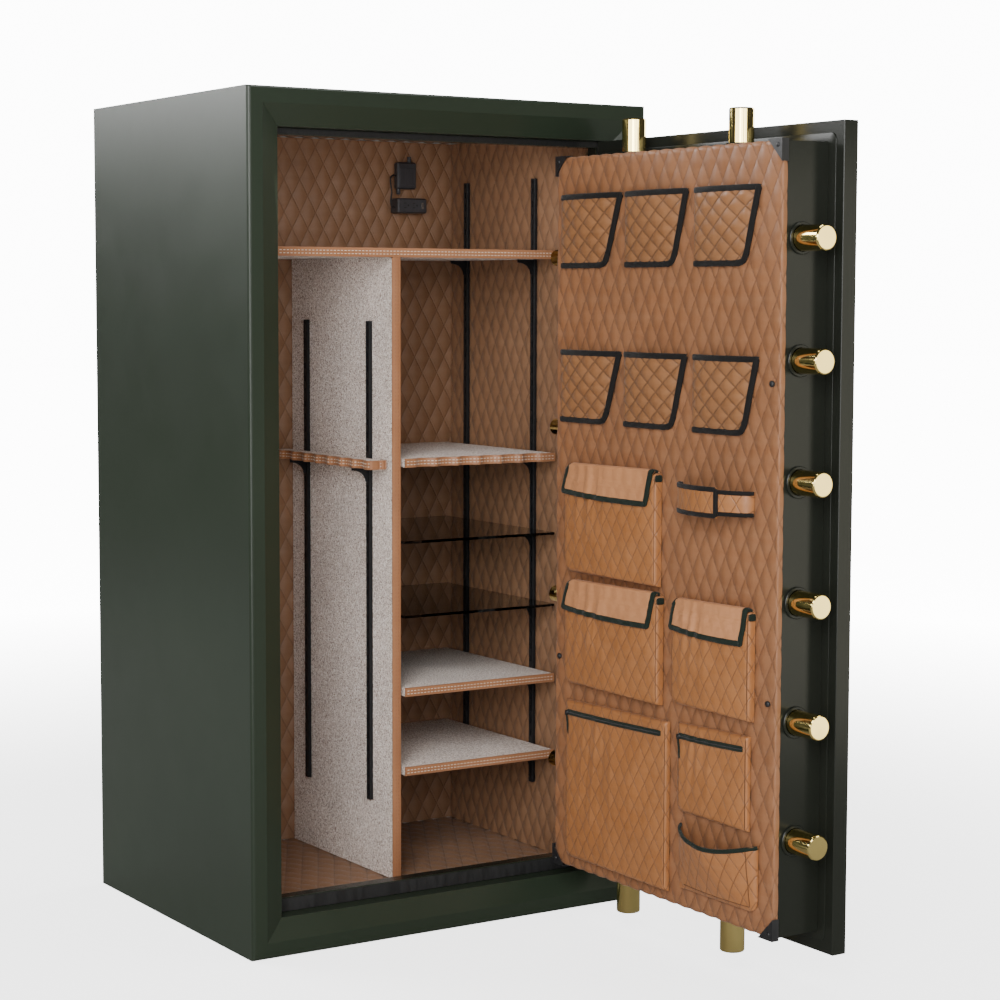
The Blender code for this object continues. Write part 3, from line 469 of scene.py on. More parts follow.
def moulded_plastic(name, colour, roughness=0.42):
    """Spark-eroded moulded plastic with light scuffs."""
    made = Shader(name, colour, roughness)
    grain = made.noise(made.place, 1400.0, 2.0)
    scuff = made.noise(made.scaled(made.place, (60.0, 60.0, 9.0)), 3.0, 4.0)
    made.feed("Roughness", made.span(scuff, 0.4, 0.75, roughness * 0.8, roughness * 1.35))
    tone = made.ramp(scuff, (0.35, colour), (0.8, shaded(colour, 1.5)))
    made.feed("Base Color", tone)
    made.feed("Normal", made.bump(grain, 0.00008, 0.5))
    return made.material


def tinted_glass():
    """Smoked glass with faint smears in its gloss."""
    made = Shader("smoked_glass", (0.30, 0.33, 0.32), 0.02, Transmission_Weight=1.0, IOR=1.5)
    made.feed("Roughness", made.span(made.noise(made.place, 22.0, 4.0), 0.4, 0.8, 0.01, 0.06))
    return made.material


def mineral_board():
    """Rough speckled fire board."""
    made = Shader("mineral_board", (0.55, 0.54, 0.50), 0.92)
    speck = made.noise(made.place, 240.0, 4.0, 0.7)
    made.feed("Base Color", made.ramp(speck, (0.3, (0.42, 0.41, 0.38)), (0.7, (0.62, 0.61, 0.57))))
    made.feed("Normal", made.bump(speck, 0.0006, 0.6))
    return made.material


def thread(name, colour):
    """Twisted sewing thread."""
    made = Shader(name, colour, 0.6, Sheen_Weight=0.3)
    twist = made.noise(made.place, 1700.0, 2.0)
    made.feed("Base Color", made.ramp(twist, (0.3, shaded(colour, 0.75)), (0.7, colour)))
    made.feed("Normal", made.bump(twist, 0.0002, 0.6))
    return made.material


TAN = colour_of(134, 88, 55)
SADDLE = colour_of(154, 99, 55)
FLAP_TAN = colour_of(184, 126, 84)
INSIDE_TAN = colour_of(132, 96, 69)
HOLSTER_TAN = colour_of(138, 93, 57)
PAINT = {
    "green": gloss_paint("green_gloss_paint", colour_of(37, 45, 34), 0.34, 0.14),
    "black": gloss_paint("black_gloss_paint", colour_of(31, 33, 28), 0.24, 0.14, 0.12),
    "upright": gloss_paint("black_satin_steel", colour_of(24, 25, 27), 0.42, 0.15),
    "brass": polished_metal("polished_brass", (0.93, 0.73, 0.27), 0.08, (240.0, 240.0, 9000.0)),
    "steel": polished_metal("plated_steel", (0.62, 0.61, 0.58), 0.26, (4000.0, 90.0, 90.0)),
    "board": mineral_board(),
    # The fourth value is how dark the painted shade makes each quilted leather right at its seams.
    "lining": leather("quilted_lining", TAN, 0.50, PANEL_DIAMOND, 0.86, seam_wide=0.0024),
    "inside": leather("quilted_inside_lining", INSIDE_TAN, 0.55, PANEL_DIAMOND, 0.84, seam_wide=0.0024),
    "holster": leather("puffed_holster_leather", HOLSTER_TAN, 0.42, HOLSTER_DIAMOND, 0.42, seam_wide=0.0022),
    "quilted": leather("quilted_saddle_leather", SADDLE, 0.42, POCKET_DIAMOND, 0.45, seam_wide=0.0013),
    "flap": leather("smooth_flap_leather", FLAP_TAN, 0.42),
    "edging": leather("edge_leather", colour_of(152, 102, 68), 0.45),
    # Painted shade: a darkened copy of the saddle leather for the welts, standing for the shade in the seams
    # round the pockets.
    "welt": leather("welt_shadow_leather", shaded(SADDLE, 0.34), 0.42),
    "black_tape": woven_tape("black_binding", colour_of(24, 21, 19)),
    "green_tape": woven_tape("green_binding", colour_of(24, 38, 27)),
    "carpet": speckled_carpet(
        "speckled_carpet", colour_of(138, 110, 94), colour_of(216, 200, 188), colour_of(254, 248, 242)
    ),
    "rubber": moulded_plastic("seal_rubber", colour_of(22, 22, 22), 0.62),
    "plastic": moulded_plastic("black_plastic", colour_of(30, 30, 31), 0.40),
    "case": moulded_plastic("charcoal_plastic", colour_of(50, 50, 53), 0.38),
    "glass": tinted_glass(),
    "white_thread": thread("white_thread", colour_of(236, 226, 208)),
    "tan_thread": thread("tan_thread", colour_of(140, 84, 46)),
    "dial_white": thread("dial_white", colour_of(235, 235, 230)),
}


# ------------------------------------------------------------------ mesh building


def piece(name, vertices, faces, paint, body, cloth=None, smooth=30.0):
    """A named mesh that rides on a body. cloth holds flat coordinates, one pair for each vertex."""
    mesh = bpy.data.meshes.new(name)
    mesh.from_pydata([tuple(v) for v in vertices], [], [tuple(int(i) for i in f) for f in faces])
    mesh.validate()
    mesh.update()
    made = bpy.data.objects.new(name, mesh)
    bpy.context.scene.collection.objects.link(made)
    mesh.materials.append(PAINT[paint])
    if cloth is not None:
        corners = np.zeros(len(mesh.loops), np.int32)
        mesh.loops.foreach_get("vertex_index", corners)
        layer = mesh.uv_layers.new(name="cloth")
        layer.data.foreach_set("uv", np.asarray(cloth, float)[corners].ravel())
    soften(made, smooth)
    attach(made, body)
    return made


def soften(made, angle):
    """Smooth shading that stays sharp across edges steeper than the angle."""
    mesh = made.data
    mesh.polygons.foreach_set("use_smooth", [True] * len(mesh.polygons))
    sharp = bmesh.new()
    sharp.from_mesh(mesh)
    limit = math.radians(angle)
    for edge in sharp.edges:
        edge.smooth = len(edge.link_faces) == 2 and edge.calc_face_angle(0.0) < limit
    sharp.to_mesh(mesh)
    sharp.free()


class Parts:
    """Collects shapes that go into one mesh."""

    def __init__(self):
        self.vertices = []
        self.faces = []
        self.cloth = []

    def add(self, vertices, faces, cloth=None):
        start = len(self.vertices)
        self.vertices.extend(tuple(v) for v in vertices)
        self.faces.extend(tuple(i + start for i in f) for f in faces)
        pairs = cloth if cloth is not None else [(v[0] + v[1], v[2]) for v in vertices]
        self.cloth.extend(tuple(c) for c in pairs)

    def loft(self, rings, caps=True, closed=False):
        """Skin over rings of equal length, each a list of points."""
        count = len(rings[0])
        faces = []
        last = len(rings) if closed else len(rings) - 1
        for j in range(last):
            a, b = j * count, (j + 1) % len(rings) * count
            for i in range(count):
                k = (i + 1) % count
                faces.append((a + i, a + k, b + k, b + i))
        if caps and not closed:
            faces.append(tuple(range(count))[::-1])
            faces.append(tuple(range((len(rings) - 1) * count, len(rings) * count)))
        cloth = []
        along = 0.0
        for j, ring in enumerate(rings):
            if j:
                along += (Vector(ring[0]) - Vector(rings[j - 1][0])).length
            around = 0.0
            for i, point in enumerate(ring):
                if i:
                    around += (Vector(point) - Vector(ring[i - 1])).length
                cloth.append((along, around))
        self.add([p for ring in rings for p in ring], faces, cloth)

    def block(self, low, high, edge=0.0006):
        """A box with chamfered edges, as a loft of rings along Z."""
        e = min(edge, *((h - l) * 0.3 for l, h in zip(low, high)))
        rings = []
        for z, inset in ((low[2], e), (low[2] + e, 0.0), (high[2] - e, 0.0), (high[2], e)):
            rings.append(chamfered_ring(low, high, inset, e, z))
        self.loft(rings)

    def lathe(self, centre, stations, axis, count=ROUND, closed=False):
        """A turned shape: stations are (along the axis, radius)."""
        x, y, z = centre
        rings = []
        for along, radius in stations:
            ring = []
            for angle in turns(count):
                a, b = radius * math.cos(angle), radius * math.sin(angle)
                places = {"x": (along, y + a, z + b), "y": (x - a, along, z + b), "z": (x + a, y + b, along)}
                ring.append(places[axis])
            rings.append(ring)
        self.loft(rings, closed=closed)

    def make(self, name, paint, body, slot, smooth=30.0):
        made = piece(name, self.vertices, self.faces, paint, body, self.cloth, smooth)
        outward(made)
        return made


def chamfered_ring(low, high, inset, edge, z):
    x0, y0, x1, y1 = low[0] + inset, low[1] + inset, high[0] - inset, high[1] - inset
    ring = [(x0 + edge, y0), (x1 - edge, y0), (x1, y0 + edge), (x1, y1 - edge)]
    ring += [(x1 - edge, y1), (x0 + edge, y1), (x0, y1 - edge), (x0, y0 + edge)]
    return [(x, y, z) for x, y in ring]


def outward(made):
    """Turns every face of a closed mesh outwards."""
    shape = bmesh.new()
    shape.from_mesh(made.data)
    bmesh.ops.recalc_face_normals(shape, faces=shape.faces)
    shape.to_mesh(made.data)
    shape.free()


def grid_faces(rows, columns, start=0, flip=False):
    """Four-sided faces over a grid of points."""
    faces = []
    for j in range(rows - 1):
        for i in range(columns - 1):
            a = start + j * columns + i
            b, c, d = a + 1, a + columns + 1, a + columns
            quad = (a, b, c, d)
            faces.append(quad[::-1] if flip else quad)
    return faces


def rim_of(rows, columns):
    """Rows and columns of the points round a grid's border, in order."""
    rim = [(0, i) for i in range(columns)] + [(j, columns - 1) for j in range(1, rows)]
    rim += [(rows - 1, i) for i in range(columns - 2, -1, -1)]
    return rim + [(j, 0) for j in range(rows - 2, 0, -1)]


def skin(outer, inner, cloth):
    """A closed sheet between an outer and an inner grid of points: vertices, faces, flat coordinates."""
    rows, columns = outer.shape[:2]
    count = rows * columns
    faces = grid_faces(rows, columns) + grid_faces(rows, columns, count, flip=True)
    index = [j * columns + i for j, i in rim_of(rows, columns)]
    for k in range(len(index)):
        a, b = index[k], index[(k + 1) % len(index)]
        faces.append((a, a + count, b + count, b))
    vertices = np.concatenate([outer.reshape(-1, 3), inner.reshape(-1, 3)])
    flat = np.concatenate([cloth.reshape(-1, 2)] * 2)
    return vertices, faces, flat


def turns(count):
    """Angles evenly round a circle."""
    return [2 * math.pi * i / count for i in range(count)]


def quarter(steps):
    """Angles over a quarter turn."""
    return [math.pi / 2 * k / steps for k in range(steps + 1)]


def sweep(parts, path, normals, width, thick, around=12):
    """A flat rounded tape along a path, its face towards the normals."""
    path = [Vector(p) for p in path]
    rings = []
    for k, point in enumerate(path):
        ahead = (path[min(k + 1, len(path) - 1)] - path[max(k - 1, 0)]).normalized()
        normal = Vector(normals[k])
        normal = (normal - ahead * normal.dot(ahead)).normalized()
        across = ahead.cross(normal)
        size = TAPE_END if k in (0, len(path) - 1) else 1.0
        ring = []
        for angle in turns(around):
            c, s = math.cos(angle), math.sin(angle)
            a = math.copysign(abs(c) ** 0.55, c) * width / 2 * size
            b = math.copysign(abs(s) ** 0.7, s) * thick / 2 * size
            ring.append(tuple(point + across * a + normal * b))
        rings.append(ring)
    parts.loft(rings)


def read_at(at, total, values):
    """A row of vectors, read at a distance along the path."""
    return np.array([np.interp(at, total, values[:, i]) for i in range(3)])


def stitches(parts, path, normals, pitch=STITCH_PITCH, long=STITCH_LONG, thick=STITCH_THICK):
    """Short threads in a row along a path, each dipping into the cloth at its two ends."""
    path = np.array([tuple(p) for p in path], float)
    normals = np.array([tuple(n) for n in normals], float)
    steps = np.linalg.norm(np.diff(path, axis=0), axis=1)
    total = np.concatenate([[0.0], np.cumsum(steps)])
    count = int((total[-1] - 0.002) / pitch)
    start = (total[-1] - count * pitch + pitch - long) / 2
    for k in range(count):
        rings = []
        for share, size, lift in STITCH_SECTIONS:
            at = start + k * pitch + share * long
            point = read_at(at, total, path)
            ahead = read_at(at + 0.0004, total, path) - point
            ahead /= max(np.linalg.norm(ahead), 1e-9)
            normal = read_at(at, total, normals)
            side = np.cross(ahead, normal)
            side /= max(np.linalg.norm(side), 1e-9)
            centre = point + normal * thick * lift * 0.5
            rings.append([centre + (side * math.cos(angle) + normal * math.sin(angle)) * thick / 2 * size
                          for angle in turns(5)])
        parts.loft(rings)


# ------------------------------------------------------------------ quilting


def puff(flat, diamond, roundness=POCKET_ROUNDNESS):
    """0 on the seams and 1 in the middle of each diamond, for flat coordinates in metres."""
    across, along = flat[..., 0] / (diamond[0] / 2), flat[..., 1] / (diamond[1] / 2)
    fold = [np.abs((value / 2) % 1.0 - 0.5) * 2 for value in (across + along, across - along)]
    round_one, round_other = (np.sin(np.pi / 2 * f) for f in fold)
    return (round_one * round_other) ** roundness


def wrap(values, length, radius, drop):
    """Folds a flat coordinate over the two ends of a face: place along it, depth below it and tilt."""
    out = np.sign(values - length / 2)
    past = np.abs(values - length / 2) - (length / 2 - radius)
    arc = np.clip(past / radius, 0.0, math.pi / 2)
    wall = np.clip(past - radius * math.pi / 2, 0.0, None)
    inside = past <= 0
    place = np.where(inside, values, length / 2 + out * (length / 2 - radius + radius * np.sin(arc)))
    deep = np.where(inside, 0.0, radius * (1 - np.cos(arc)) + wall)
    return place, np.minimum(deep, drop), np.where(inside, 0.0, arc * out)


def flat_samples(length, step, radius, drop):
    """Sample places across a face and down its two sides."""
    extra = radius * (math.pi / 2 - 1) + drop - radius
    count = max(2, round((length + 2 * extra) / step))
    return np.linspace(-extra, length + extra, count + 1)


def steps_of(diamond):
    """Grid spacing across and up, so that seams fall on grid lines."""
    return diamond[0] / 2 / STEPS_PER_HALF_DIAMOND, diamond[1] / 2 / STEPS_PER_HALF_DIAMOND


def lining(node, normal_axis, sign):
    """A quilted sheet over a lining board: seams pressed in, edges meeting its neighbours."""
    low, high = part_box(node)
    plane = [i for i in range(3) if i != normal_axis]
    span = [high[i] - low[i] for i in plane]
    step = steps_of(PANEL_DIAMOND)
    counts = [max(2, round(span[k] / step[k])) for k in range(2)]
    a, b = np.meshgrid(np.linspace(0, span[0], counts[0] + 1), np.linspace(0, span[1], counts[1] + 1))
    flat = np.stack([a, b], -1)
    deep = PANEL_SEAM_DEPTH * (1 - puff(flat, PANEL_DIAMOND, PANEL_ROUNDNESS))
    face = high[normal_axis] if sign > 0 else low[normal_axis]
    back = low[normal_axis] if sign > 0 else high[normal_axis]
    outer = np.zeros((*a.shape, 3))
    outer[..., plane[0]] = low[plane[0]] + a
    outer[..., plane[1]] = low[plane[1]] + b
    inner = outer.copy()
    outer[..., normal_axis] = face - sign * deep
    inner[..., normal_axis] = back
    vertices, faces, cloth = skin_with_flat_back(outer, inner, flat)
    made = piece(f"{node}_quilting", vertices, faces, "inside", "cabinet", cloth, 80.0)
    outward(made)
    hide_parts(node)


def skin_with_flat_back(outer, inner, cloth):
    """Like skin, with one plain face for the whole back."""
    rows, columns = outer.shape[:2]
    faces = grid_faces(rows, columns)
    rim = rim_of(rows, columns)
    count = rows * columns
    vertices = list(outer.reshape(-1, 3)) + [inner[j, i] for j, i in rim]
    flat = list(cloth.reshape(-1, 2)) + [cloth[j, i] for j, i in rim]
    for k in range(len(rim)):
        n = (k + 1) % len(rim)
        a, b = rim[k][0] * columns + rim[k][1], rim[n][0] * columns + rim[n][1]
        faces.append((a, count + k, count + n, b))
    faces.append(tuple(count + k for k in range(len(rim))))
    return vertices, faces, flat


def linings():
    """The cabinet's five quilted faces."""
    for node, axis, sign in (("lining_left", 0, 1), ("lining_right", 0, -1), ("lining_rear", 1, -1),
                             ("lining_ceiling", 2, -1), ("lining_floor", 2, 1)):
        lining(node, axis, sign)


# ------------------------------------------------------------------ door panel

PANEL_LOW, PANEL_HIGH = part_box("door_panel")
FACE_X = PANEL_LOW.x
HINGE_EDGE_Y = PANEL_HIGH.y
OFF_PANEL = (-1, 0, 0)


def on_panel(a, z, stand):
    """A point by its distance from the panel's hinge edge, its height and how far it stands off the face."""
    return np.stack(np.broadcast_arrays(FACE_X - stand, HINGE_EDGE_Y - a, z), -1)


def door_panel():
    """The quilted leather wrapped over the panel's four edges."""
    wide, tall = HINGE_EDGE_Y - PANEL_LOW.y, PANEL_HIGH.z - PANEL_LOW.z
    drop, radius = PANEL_HIGH.x - FACE_X, PANEL_EDGE
    step = steps_of(PANEL_DIAMOND)
    a, b = np.meshgrid(flat_samples(wide, step[0], radius, drop), flat_samples(tall, step[1], radius, drop))
    flat = np.stack([a, b], -1)
    across, down_a, tilt_a = wrap(a, wide, radius, drop)
    up, down_b, tilt_b = wrap(b, tall, radius, drop)
    deep = PANEL_SEAM_DEPTH * (1 - puff(flat, PANEL_DIAMOND, PANEL_ROUNDNESS))
    edge = np.maximum(np.abs(tilt_a), np.abs(tilt_b))
    deep *= 1 - PANEL_EDGE_FADE * np.sin(edge)
    outer = on_panel(across - np.sin(tilt_a) * deep, PANEL_LOW.z + up - np.sin(tilt_b) * deep,
                     -np.maximum(down_a, down_b) - np.cos(edge) * deep)
    inner = outer.copy()
    inner[..., 0] = PANEL_HIGH.x
    vertices, faces, cloth = skin_with_flat_back(outer, inner, flat)
    made = piece("door_panel_quilting", vertices, faces, "lining", "door", cloth, 80.0)
    tidy_mesh(made)
    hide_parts("door_panel")


def tidy_mesh(made):
    """Closes corners where folded rows of points meet."""
    shape = bmesh.new()
    shape.from_mesh(made.data)
    bmesh.ops.remove_doubles(shape, verts=shape.verts, dist=0.00002)
    bmesh.ops.dissolve_degenerate(shape, edges=shape.edges, dist=0.00001)
    bmesh.ops.recalc_face_normals(shape, faces=shape.faces)
    shape.to_mesh(made.data)
    shape.free()


# ------------------------------------------------------------------ pockets


def pocket_box(node):
    """Left and right distance from the hinge edge, bottom, top and stand-off of a pocket's CAD solid."""
    low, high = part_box(node)
    return HINGE_EDGE_Y - high.y, HINGE_EDGE_Y - low.y, low.z, high.z, FACE_X - low.x


def arch(s, power):
    """0 at both ends of a share and 1 in its middle, fuller for a small power."""
    return np.clip(np.sin(np.pi * s), 0.0, None) ** power


def wrinkles(flat, seed, size=0.05, amount=0.0012):
    """Soft uneven folds, the same on every run."""
    dice = np.random.default_rng(seed)
    total = np.zeros(flat.shape[:2])
    for _ in range(7):
        angle = dice.uniform(0, math.pi)
        wave = 2 * math.pi / (size * dice.uniform(0.55, 1.7))
        shift = dice.uniform(0, 2 * math.pi)
        total += np.sin((flat[..., 0] * math.cos(angle) + flat[..., 1] * math.sin(angle)) * wave + shift)
    return total / 7 * amount


def rounded_corner(a, z, corner_a, corner_z, radius):
    """Pulls a grid's points into a rounded corner at the right end of its lower edge."""
    x = np.clip((a - (corner_a - radius)) / radius, 0.0, 1.0)
    y = np.clip(((corner_z + radius) - z) / radius, 0.0, 1.0)
    both = (x > 0) & (y > 0)
    pulled_a = corner_a - radius + radius * x * np.sqrt(1 - y * y / 2)
    pulled_z = corner_z + radius - radius * y * np.sqrt(1 - x * x / 2)
    return np.where(both, pulled_a, a), np.where(both, pulled_z, z)


def sewn(parts, name, paint):
    """Trim that is sewn to a pocket."""
    parts.make(name, paint, "door", "pocket_leather", 60.0)


def sewn_leather(name, outer, inner, flat, paint):
    """A leather sheet with an outer and an inner face."""
    vertices, faces, cloth = skin(outer, inner, flat)
    made = piece(name, vertices, faces, paint, "door", cloth, 70.0)
    outward(made)
    return made


def open_lift(stand, thick, s, t):
    """How an open pocket's leather bows off the panel, most at its mouth."""
    return (stand - thick) * arch(s, 0.6) * t ** 0.75


def holster(node, slant, seed):
    """A quilted open pocket with black binding round its mouth, right side and bottom."""
    left, right, bottom, top, stand = pocket_box(node)
    low_right = right - slant
    s, t = np.meshgrid(np.linspace(0, 1, 49), np.linspace(0, 1, 51))
    edge = low_right + (right - low_right) * t
    a = left + (edge - left) * s
    z = bottom + (top - bottom) * t
    lift = open_lift(stand, HOLSTER_THICK, s, t)
    flat = np.stack([a - left, z - bottom], -1)
    square = np.stack([a, z], -1)
    a, z = rounded_corner(a, z, low_right + 0.0035, bottom, HOLSTER_CORNER)
    a = np.where(square[..., 1] < bottom + HOLSTER_CORNER, a, square[..., 0])
    lift = lift + wrinkles(flat, seed, 0.06, 0.0016) * arch(s, 0.5) * t
    rim = np.minimum(np.minimum(s, 1 - s) * (right - left), np.minimum(t, 1 - t) * (top - bottom))
    full = np.clip((rim - 0.004) / 0.008, 0, 1)
    sink = HOLSTER_SEAM_DEPTH * (1 - puff(flat, HOLSTER_DIAMOND, HOLSTER_ROUNDNESS)) * full
    sink = sink + (HOLSTER_THICK - HOLSTER_RIM) * (1 - full)
    outer = on_panel(a, z, np.maximum(lift + HOLSTER_THICK - sink, 0.0012))
    inner = on_panel(a, z, np.maximum(lift - 0.0004, 0.0004))
    made = sewn_leather(node + "_leather", outer, inner, flat, "holster")
    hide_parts(node)
    bind_holster(node, outer, inner)


def edge_frame(outer, inner, picks, smoothing=PATH_SMOOTHING):
    """Path and outward normals along chosen grid points, between the outer and the inner face."""
    path = [(outer[j, i] + inner[j, i]) / 2 for j, i in picks]
    normals = []
    for j, i in picks:
        up = outer[min(j + 1, outer.shape[0] - 1), i] - outer[max(j - 1, 0), i]
        side = outer[j, min(i + 1, outer.shape[1] - 1)] - outer[j, max(i - 1, 0)]
        normal = np.cross(side, up)
        normal = normal if normal[0] < 0 else -normal
        normals.append(normal / max(np.linalg.norm(normal), 1e-9))
    path = np.array(path)
    for _ in range(smoothing):
        path[1:-1] = (path[:-2] + 2 * path[1:-1] + path[2:]) / 4
    return list(path), normals


def bind_holster(node, outer, inner):
    """Black tape along a holster's mouth, and round its right side and bottom."""
    rows, columns = outer.shape[:2]
    parts = Parts()
    mouth = [(rows - 2, i) for i in range(columns)]
    path, normals = edge_frame(outer, inner, mouth)
    sweep(parts, path, normals, BINDING_WIDE, BINDING_THICK + 0.0006)
    side = [(j, columns - 2) for j in range(rows - 1, 1, -1)] + [(2, i) for i in range(columns - 2, -1, -1)]
    path, normals = edge_frame(outer, inner, side)
    path = [p + n * 0.0006 for p, n in zip(path, map(np.array, normals))]
    sweep(parts, path, normals, BINDING_WIDE, BINDING_THICK)
    sewn(parts, node + "_binding", "black_tape")


def front_shape(grid, s, t, share=1.0):
    """Where a place on a pocket's front lies: the left wall leans in and the lower left corner is round."""
    inset = POCKET_LEAN * share
    corner = np.clip(1 - s * grid["wide"] / POCKET_CORNER, 0, 1)
    rise = POCKET_CORNER * (1 - np.sqrt(1 - corner ** 2 * 0.999)) + POCKET_LIFT * share * (1 - 0.7 * s)
    droop = POCKET_DROOP * (1 - s) ** 2
    a = grid["left"] + inset + (grid["wide"] - inset) * s
    z = grid["bottom"] + rise * (1 - t) ** 3 + (grid["tall"] - droop) * t
    return a, z


def front_level(grid, s, t):
    """How far a pocket's front stands off the panel at a place, read from its leather."""
    rows, columns = grid["level"].shape
    return grid["level"][nearest(grid["t"][:, columns // 2], t), nearest(grid["s"][rows // 2], s)]


def nearest(samples, value):
    """Index of the sample that is closest to each value."""
    return np.abs(samples - np.asarray(value)[..., None]).argmin(-1)


def closed_pocket_grid(node, edge, swell, seed, sag=0.0):
    """The leather of a full pocket: a gusset up from the panel, then a bulging quilted front."""
    left, right, bottom, top, _ = pocket_box(node)
    wide, tall = right - left, top - bottom
    step = (POCKET_DIAMOND[0] / 2 / 4, POCKET_DIAMOND[1] / 2 / 5)
    samples = [flat_samples(side, gap, POCKET_EDGE, edge) for side, gap in zip((wide, tall), step)]
    a, b = np.meshgrid(*samples)
    flat = np.stack([a, b], -1)
    across, down_a, tilt_a = wrap(a, wide, POCKET_EDGE, edge)
    up, down_b, tilt_b = wrap(b, tall, POCKET_EDGE, edge)
    s, t = across / wide, up / tall
    bulge = swell * arch(s, 0.45) * arch(0.06 + 0.88 * t - sag * arch(t, 1.0), 0.45)
    front = np.cos(np.maximum(np.abs(tilt_a), np.abs(tilt_b)))
    level = edge + bulge * np.clip(front * 1.5, 0, 1) - np.maximum(down_a, down_b)
    grid = {"level": level, "flat": flat, "front": front, "s": s, "t": t, "wide": wide, "tall": tall,
            "left": left, "right": right, "bottom": bottom, "top": top, "edge": edge}
    grid["a"], grid["z"] = front_shape(grid, s, t, np.clip(level / edge, 0, 1))
    inflate(grid)
    creases = wrinkles(flat, seed, 0.07, 0.0022) * arch(s, 0.4) * arch(t, 0.4)
    creases = creases + drape_folds(s, t, wide) * arch(t, 0.6)
    grid["level"] = grid["level"] + creases * np.clip(front * 1.5, 0, 1)
    return grid


def inflate(grid):
    """Fills a pocket by cloth simulation: leather held at its sewn rim and pressed out from within."""
    points = on_panel(grid["a"], grid["z"], grid["level"])
    rows, columns = points.shape[:2]
    mesh = bpy.data.meshes.new("pocket_cloth")
    mesh.from_pydata([tuple(p) for p in points.reshape(-1, 3)], [], grid_faces(rows, columns))
    made = bpy.data.objects.new("pocket_cloth", mesh)
    scene = bpy.context.scene
    scene.collection.objects.link(made)
    held = made.vertex_groups.new(name="held")
    held.add([j * columns + i for j, i in rim_of(rows, columns)], 1.0, "REPLACE")
    cloth = made.modifiers.new("cloth", "CLOTH")
    settings = cloth.settings
    settings.quality = CLOTH_QUALITY
    settings.mass = CLOTH_MASS
    settings.tension_stiffness = settings.compression_stiffness = CLOTH_STIFF
    settings.shear_stiffness = CLOTH_STIFF
    settings.bending_stiffness = CLOTH_BEND
    settings.vertex_group_mass = "held"
    settings.shrink_min = CLOTH_SPARE
    settings.use_pressure = True
    settings.uniform_pressure_force = CLOTH_PRESSURE
    settings.effector_weights.gravity = 0.0
    cloth.collision_settings.use_collision = False
    cloth.point_cache.frame_start = 1
    cloth.point_cache.frame_end = CLOTH_FRAMES
    for frame_number in range(1, CLOTH_FRAMES + 1):
        scene.frame_set(frame_number)
    settled = made.evaluated_get(bpy.context.evaluated_depsgraph_get()).to_mesh()
    moved = np.empty(len(mesh.vertices) * 3)
    settled.vertices.foreach_get("co", moved)
    move = moved.reshape(rows, columns, 3) - points
    far = np.linalg.norm(move, axis=-1, keepdims=True)
    move *= np.minimum(1.0, CLOTH_CAP / np.maximum(far, 1e-9))
    grid["level"] = grid["level"] - move[..., 0]
    grid["a"] = grid["a"] - move[..., 1]
    grid["z"] = grid["z"] + move[..., 2]
    bpy.data.objects.remove(made)
    scene.frame_set(1)


def drape_folds(s, t, wide):
    """Long shallow folds that hang from the mouth and fan out towards the lower left corner."""
    total = np.zeros_like(s)
    for start, lean, width, depth in FOLDS:
        centre = start - lean * (1 - t)
        total += depth * np.exp(-((s - centre) * wide / width) ** 2) * np.clip(1.25 * t, 0, 1)
    return total


def quilt_front(grid, plain_above=None):
    """Sinks the quilted seams into a pocket's front."""
    sink = POCKET_SEAM_DEPTH * (1 - puff(grid["flat"], POCKET_DIAMOND)) * grid["front"] ** 2
    fade = np.clip(np.minimum(grid["s"], 1 - grid["s"]) * grid["wide"] / 0.012, 0, 1)
    fade = fade * np.clip(np.minimum(grid["t"], 1 - grid["t"]) * grid["tall"] / 0.012, 0, 1)
    if plain_above is not None:
        fade = fade * np.clip((plain_above - grid["z"]) / 0.006, 0, 1)
    grid["level"] = np.maximum(grid["level"] - sink * fade, 0.0006)


def pocket_leather_piece(node, grid):
    """The quilted leather of a closed pocket, from its grid."""
    outer = on_panel(grid["a"], grid["z"], grid["level"])
    inner = outer.copy()
    inner[..., 0] = FACE_X - 0.0004
    vertices, faces, cloth = skin_with_flat_back(outer, inner, grid["flat"])
    made = piece(node + "_leather", vertices, faces, "quilted", "door", cloth, 70.0)
    tidy_mesh(made)
    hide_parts(node)


def welt(node, grid):
    """The seam that joins the front to its gusset: a thin welt in dark leather, its darkness painted shade of
    the seam's groove.
    """
    parts = Parts()
    low_s, high_s = WELT_INSET / grid["wide"], 1 - WELT_INSET / grid["wide"]
    low_t, high_t = WELT_INSET / grid["tall"], 1 - WELT_INSET / grid["tall"]
    corners = [(low_s, high_t), (low_s, low_t), (high_s, low_t), (high_s, high_t)]
    path = []
    for (s0, t0), (s1, t1) in zip(corners, corners[1:]):
        for k in range(WELT_STEPS):
            share = k / WELT_STEPS
            path.append((s0 + (s1 - s0) * share, t0 + (t1 - t0) * share))
    path.append(corners[-1])
    points = []
    for s, t in path:
        a, z = front_shape(grid, s, t)
        points.append(on_panel(a, z, front_level(grid, s, t) - 0.0008))
    # Painted shade: the welt's dark leather stands for the shade in the groove of the seam.
    sweep(parts, points, [OFF_PANEL] * len(points), WELT_THICK, WELT_THICK, 8)
    sewn(parts, node + "_welt_shadow", "welt")


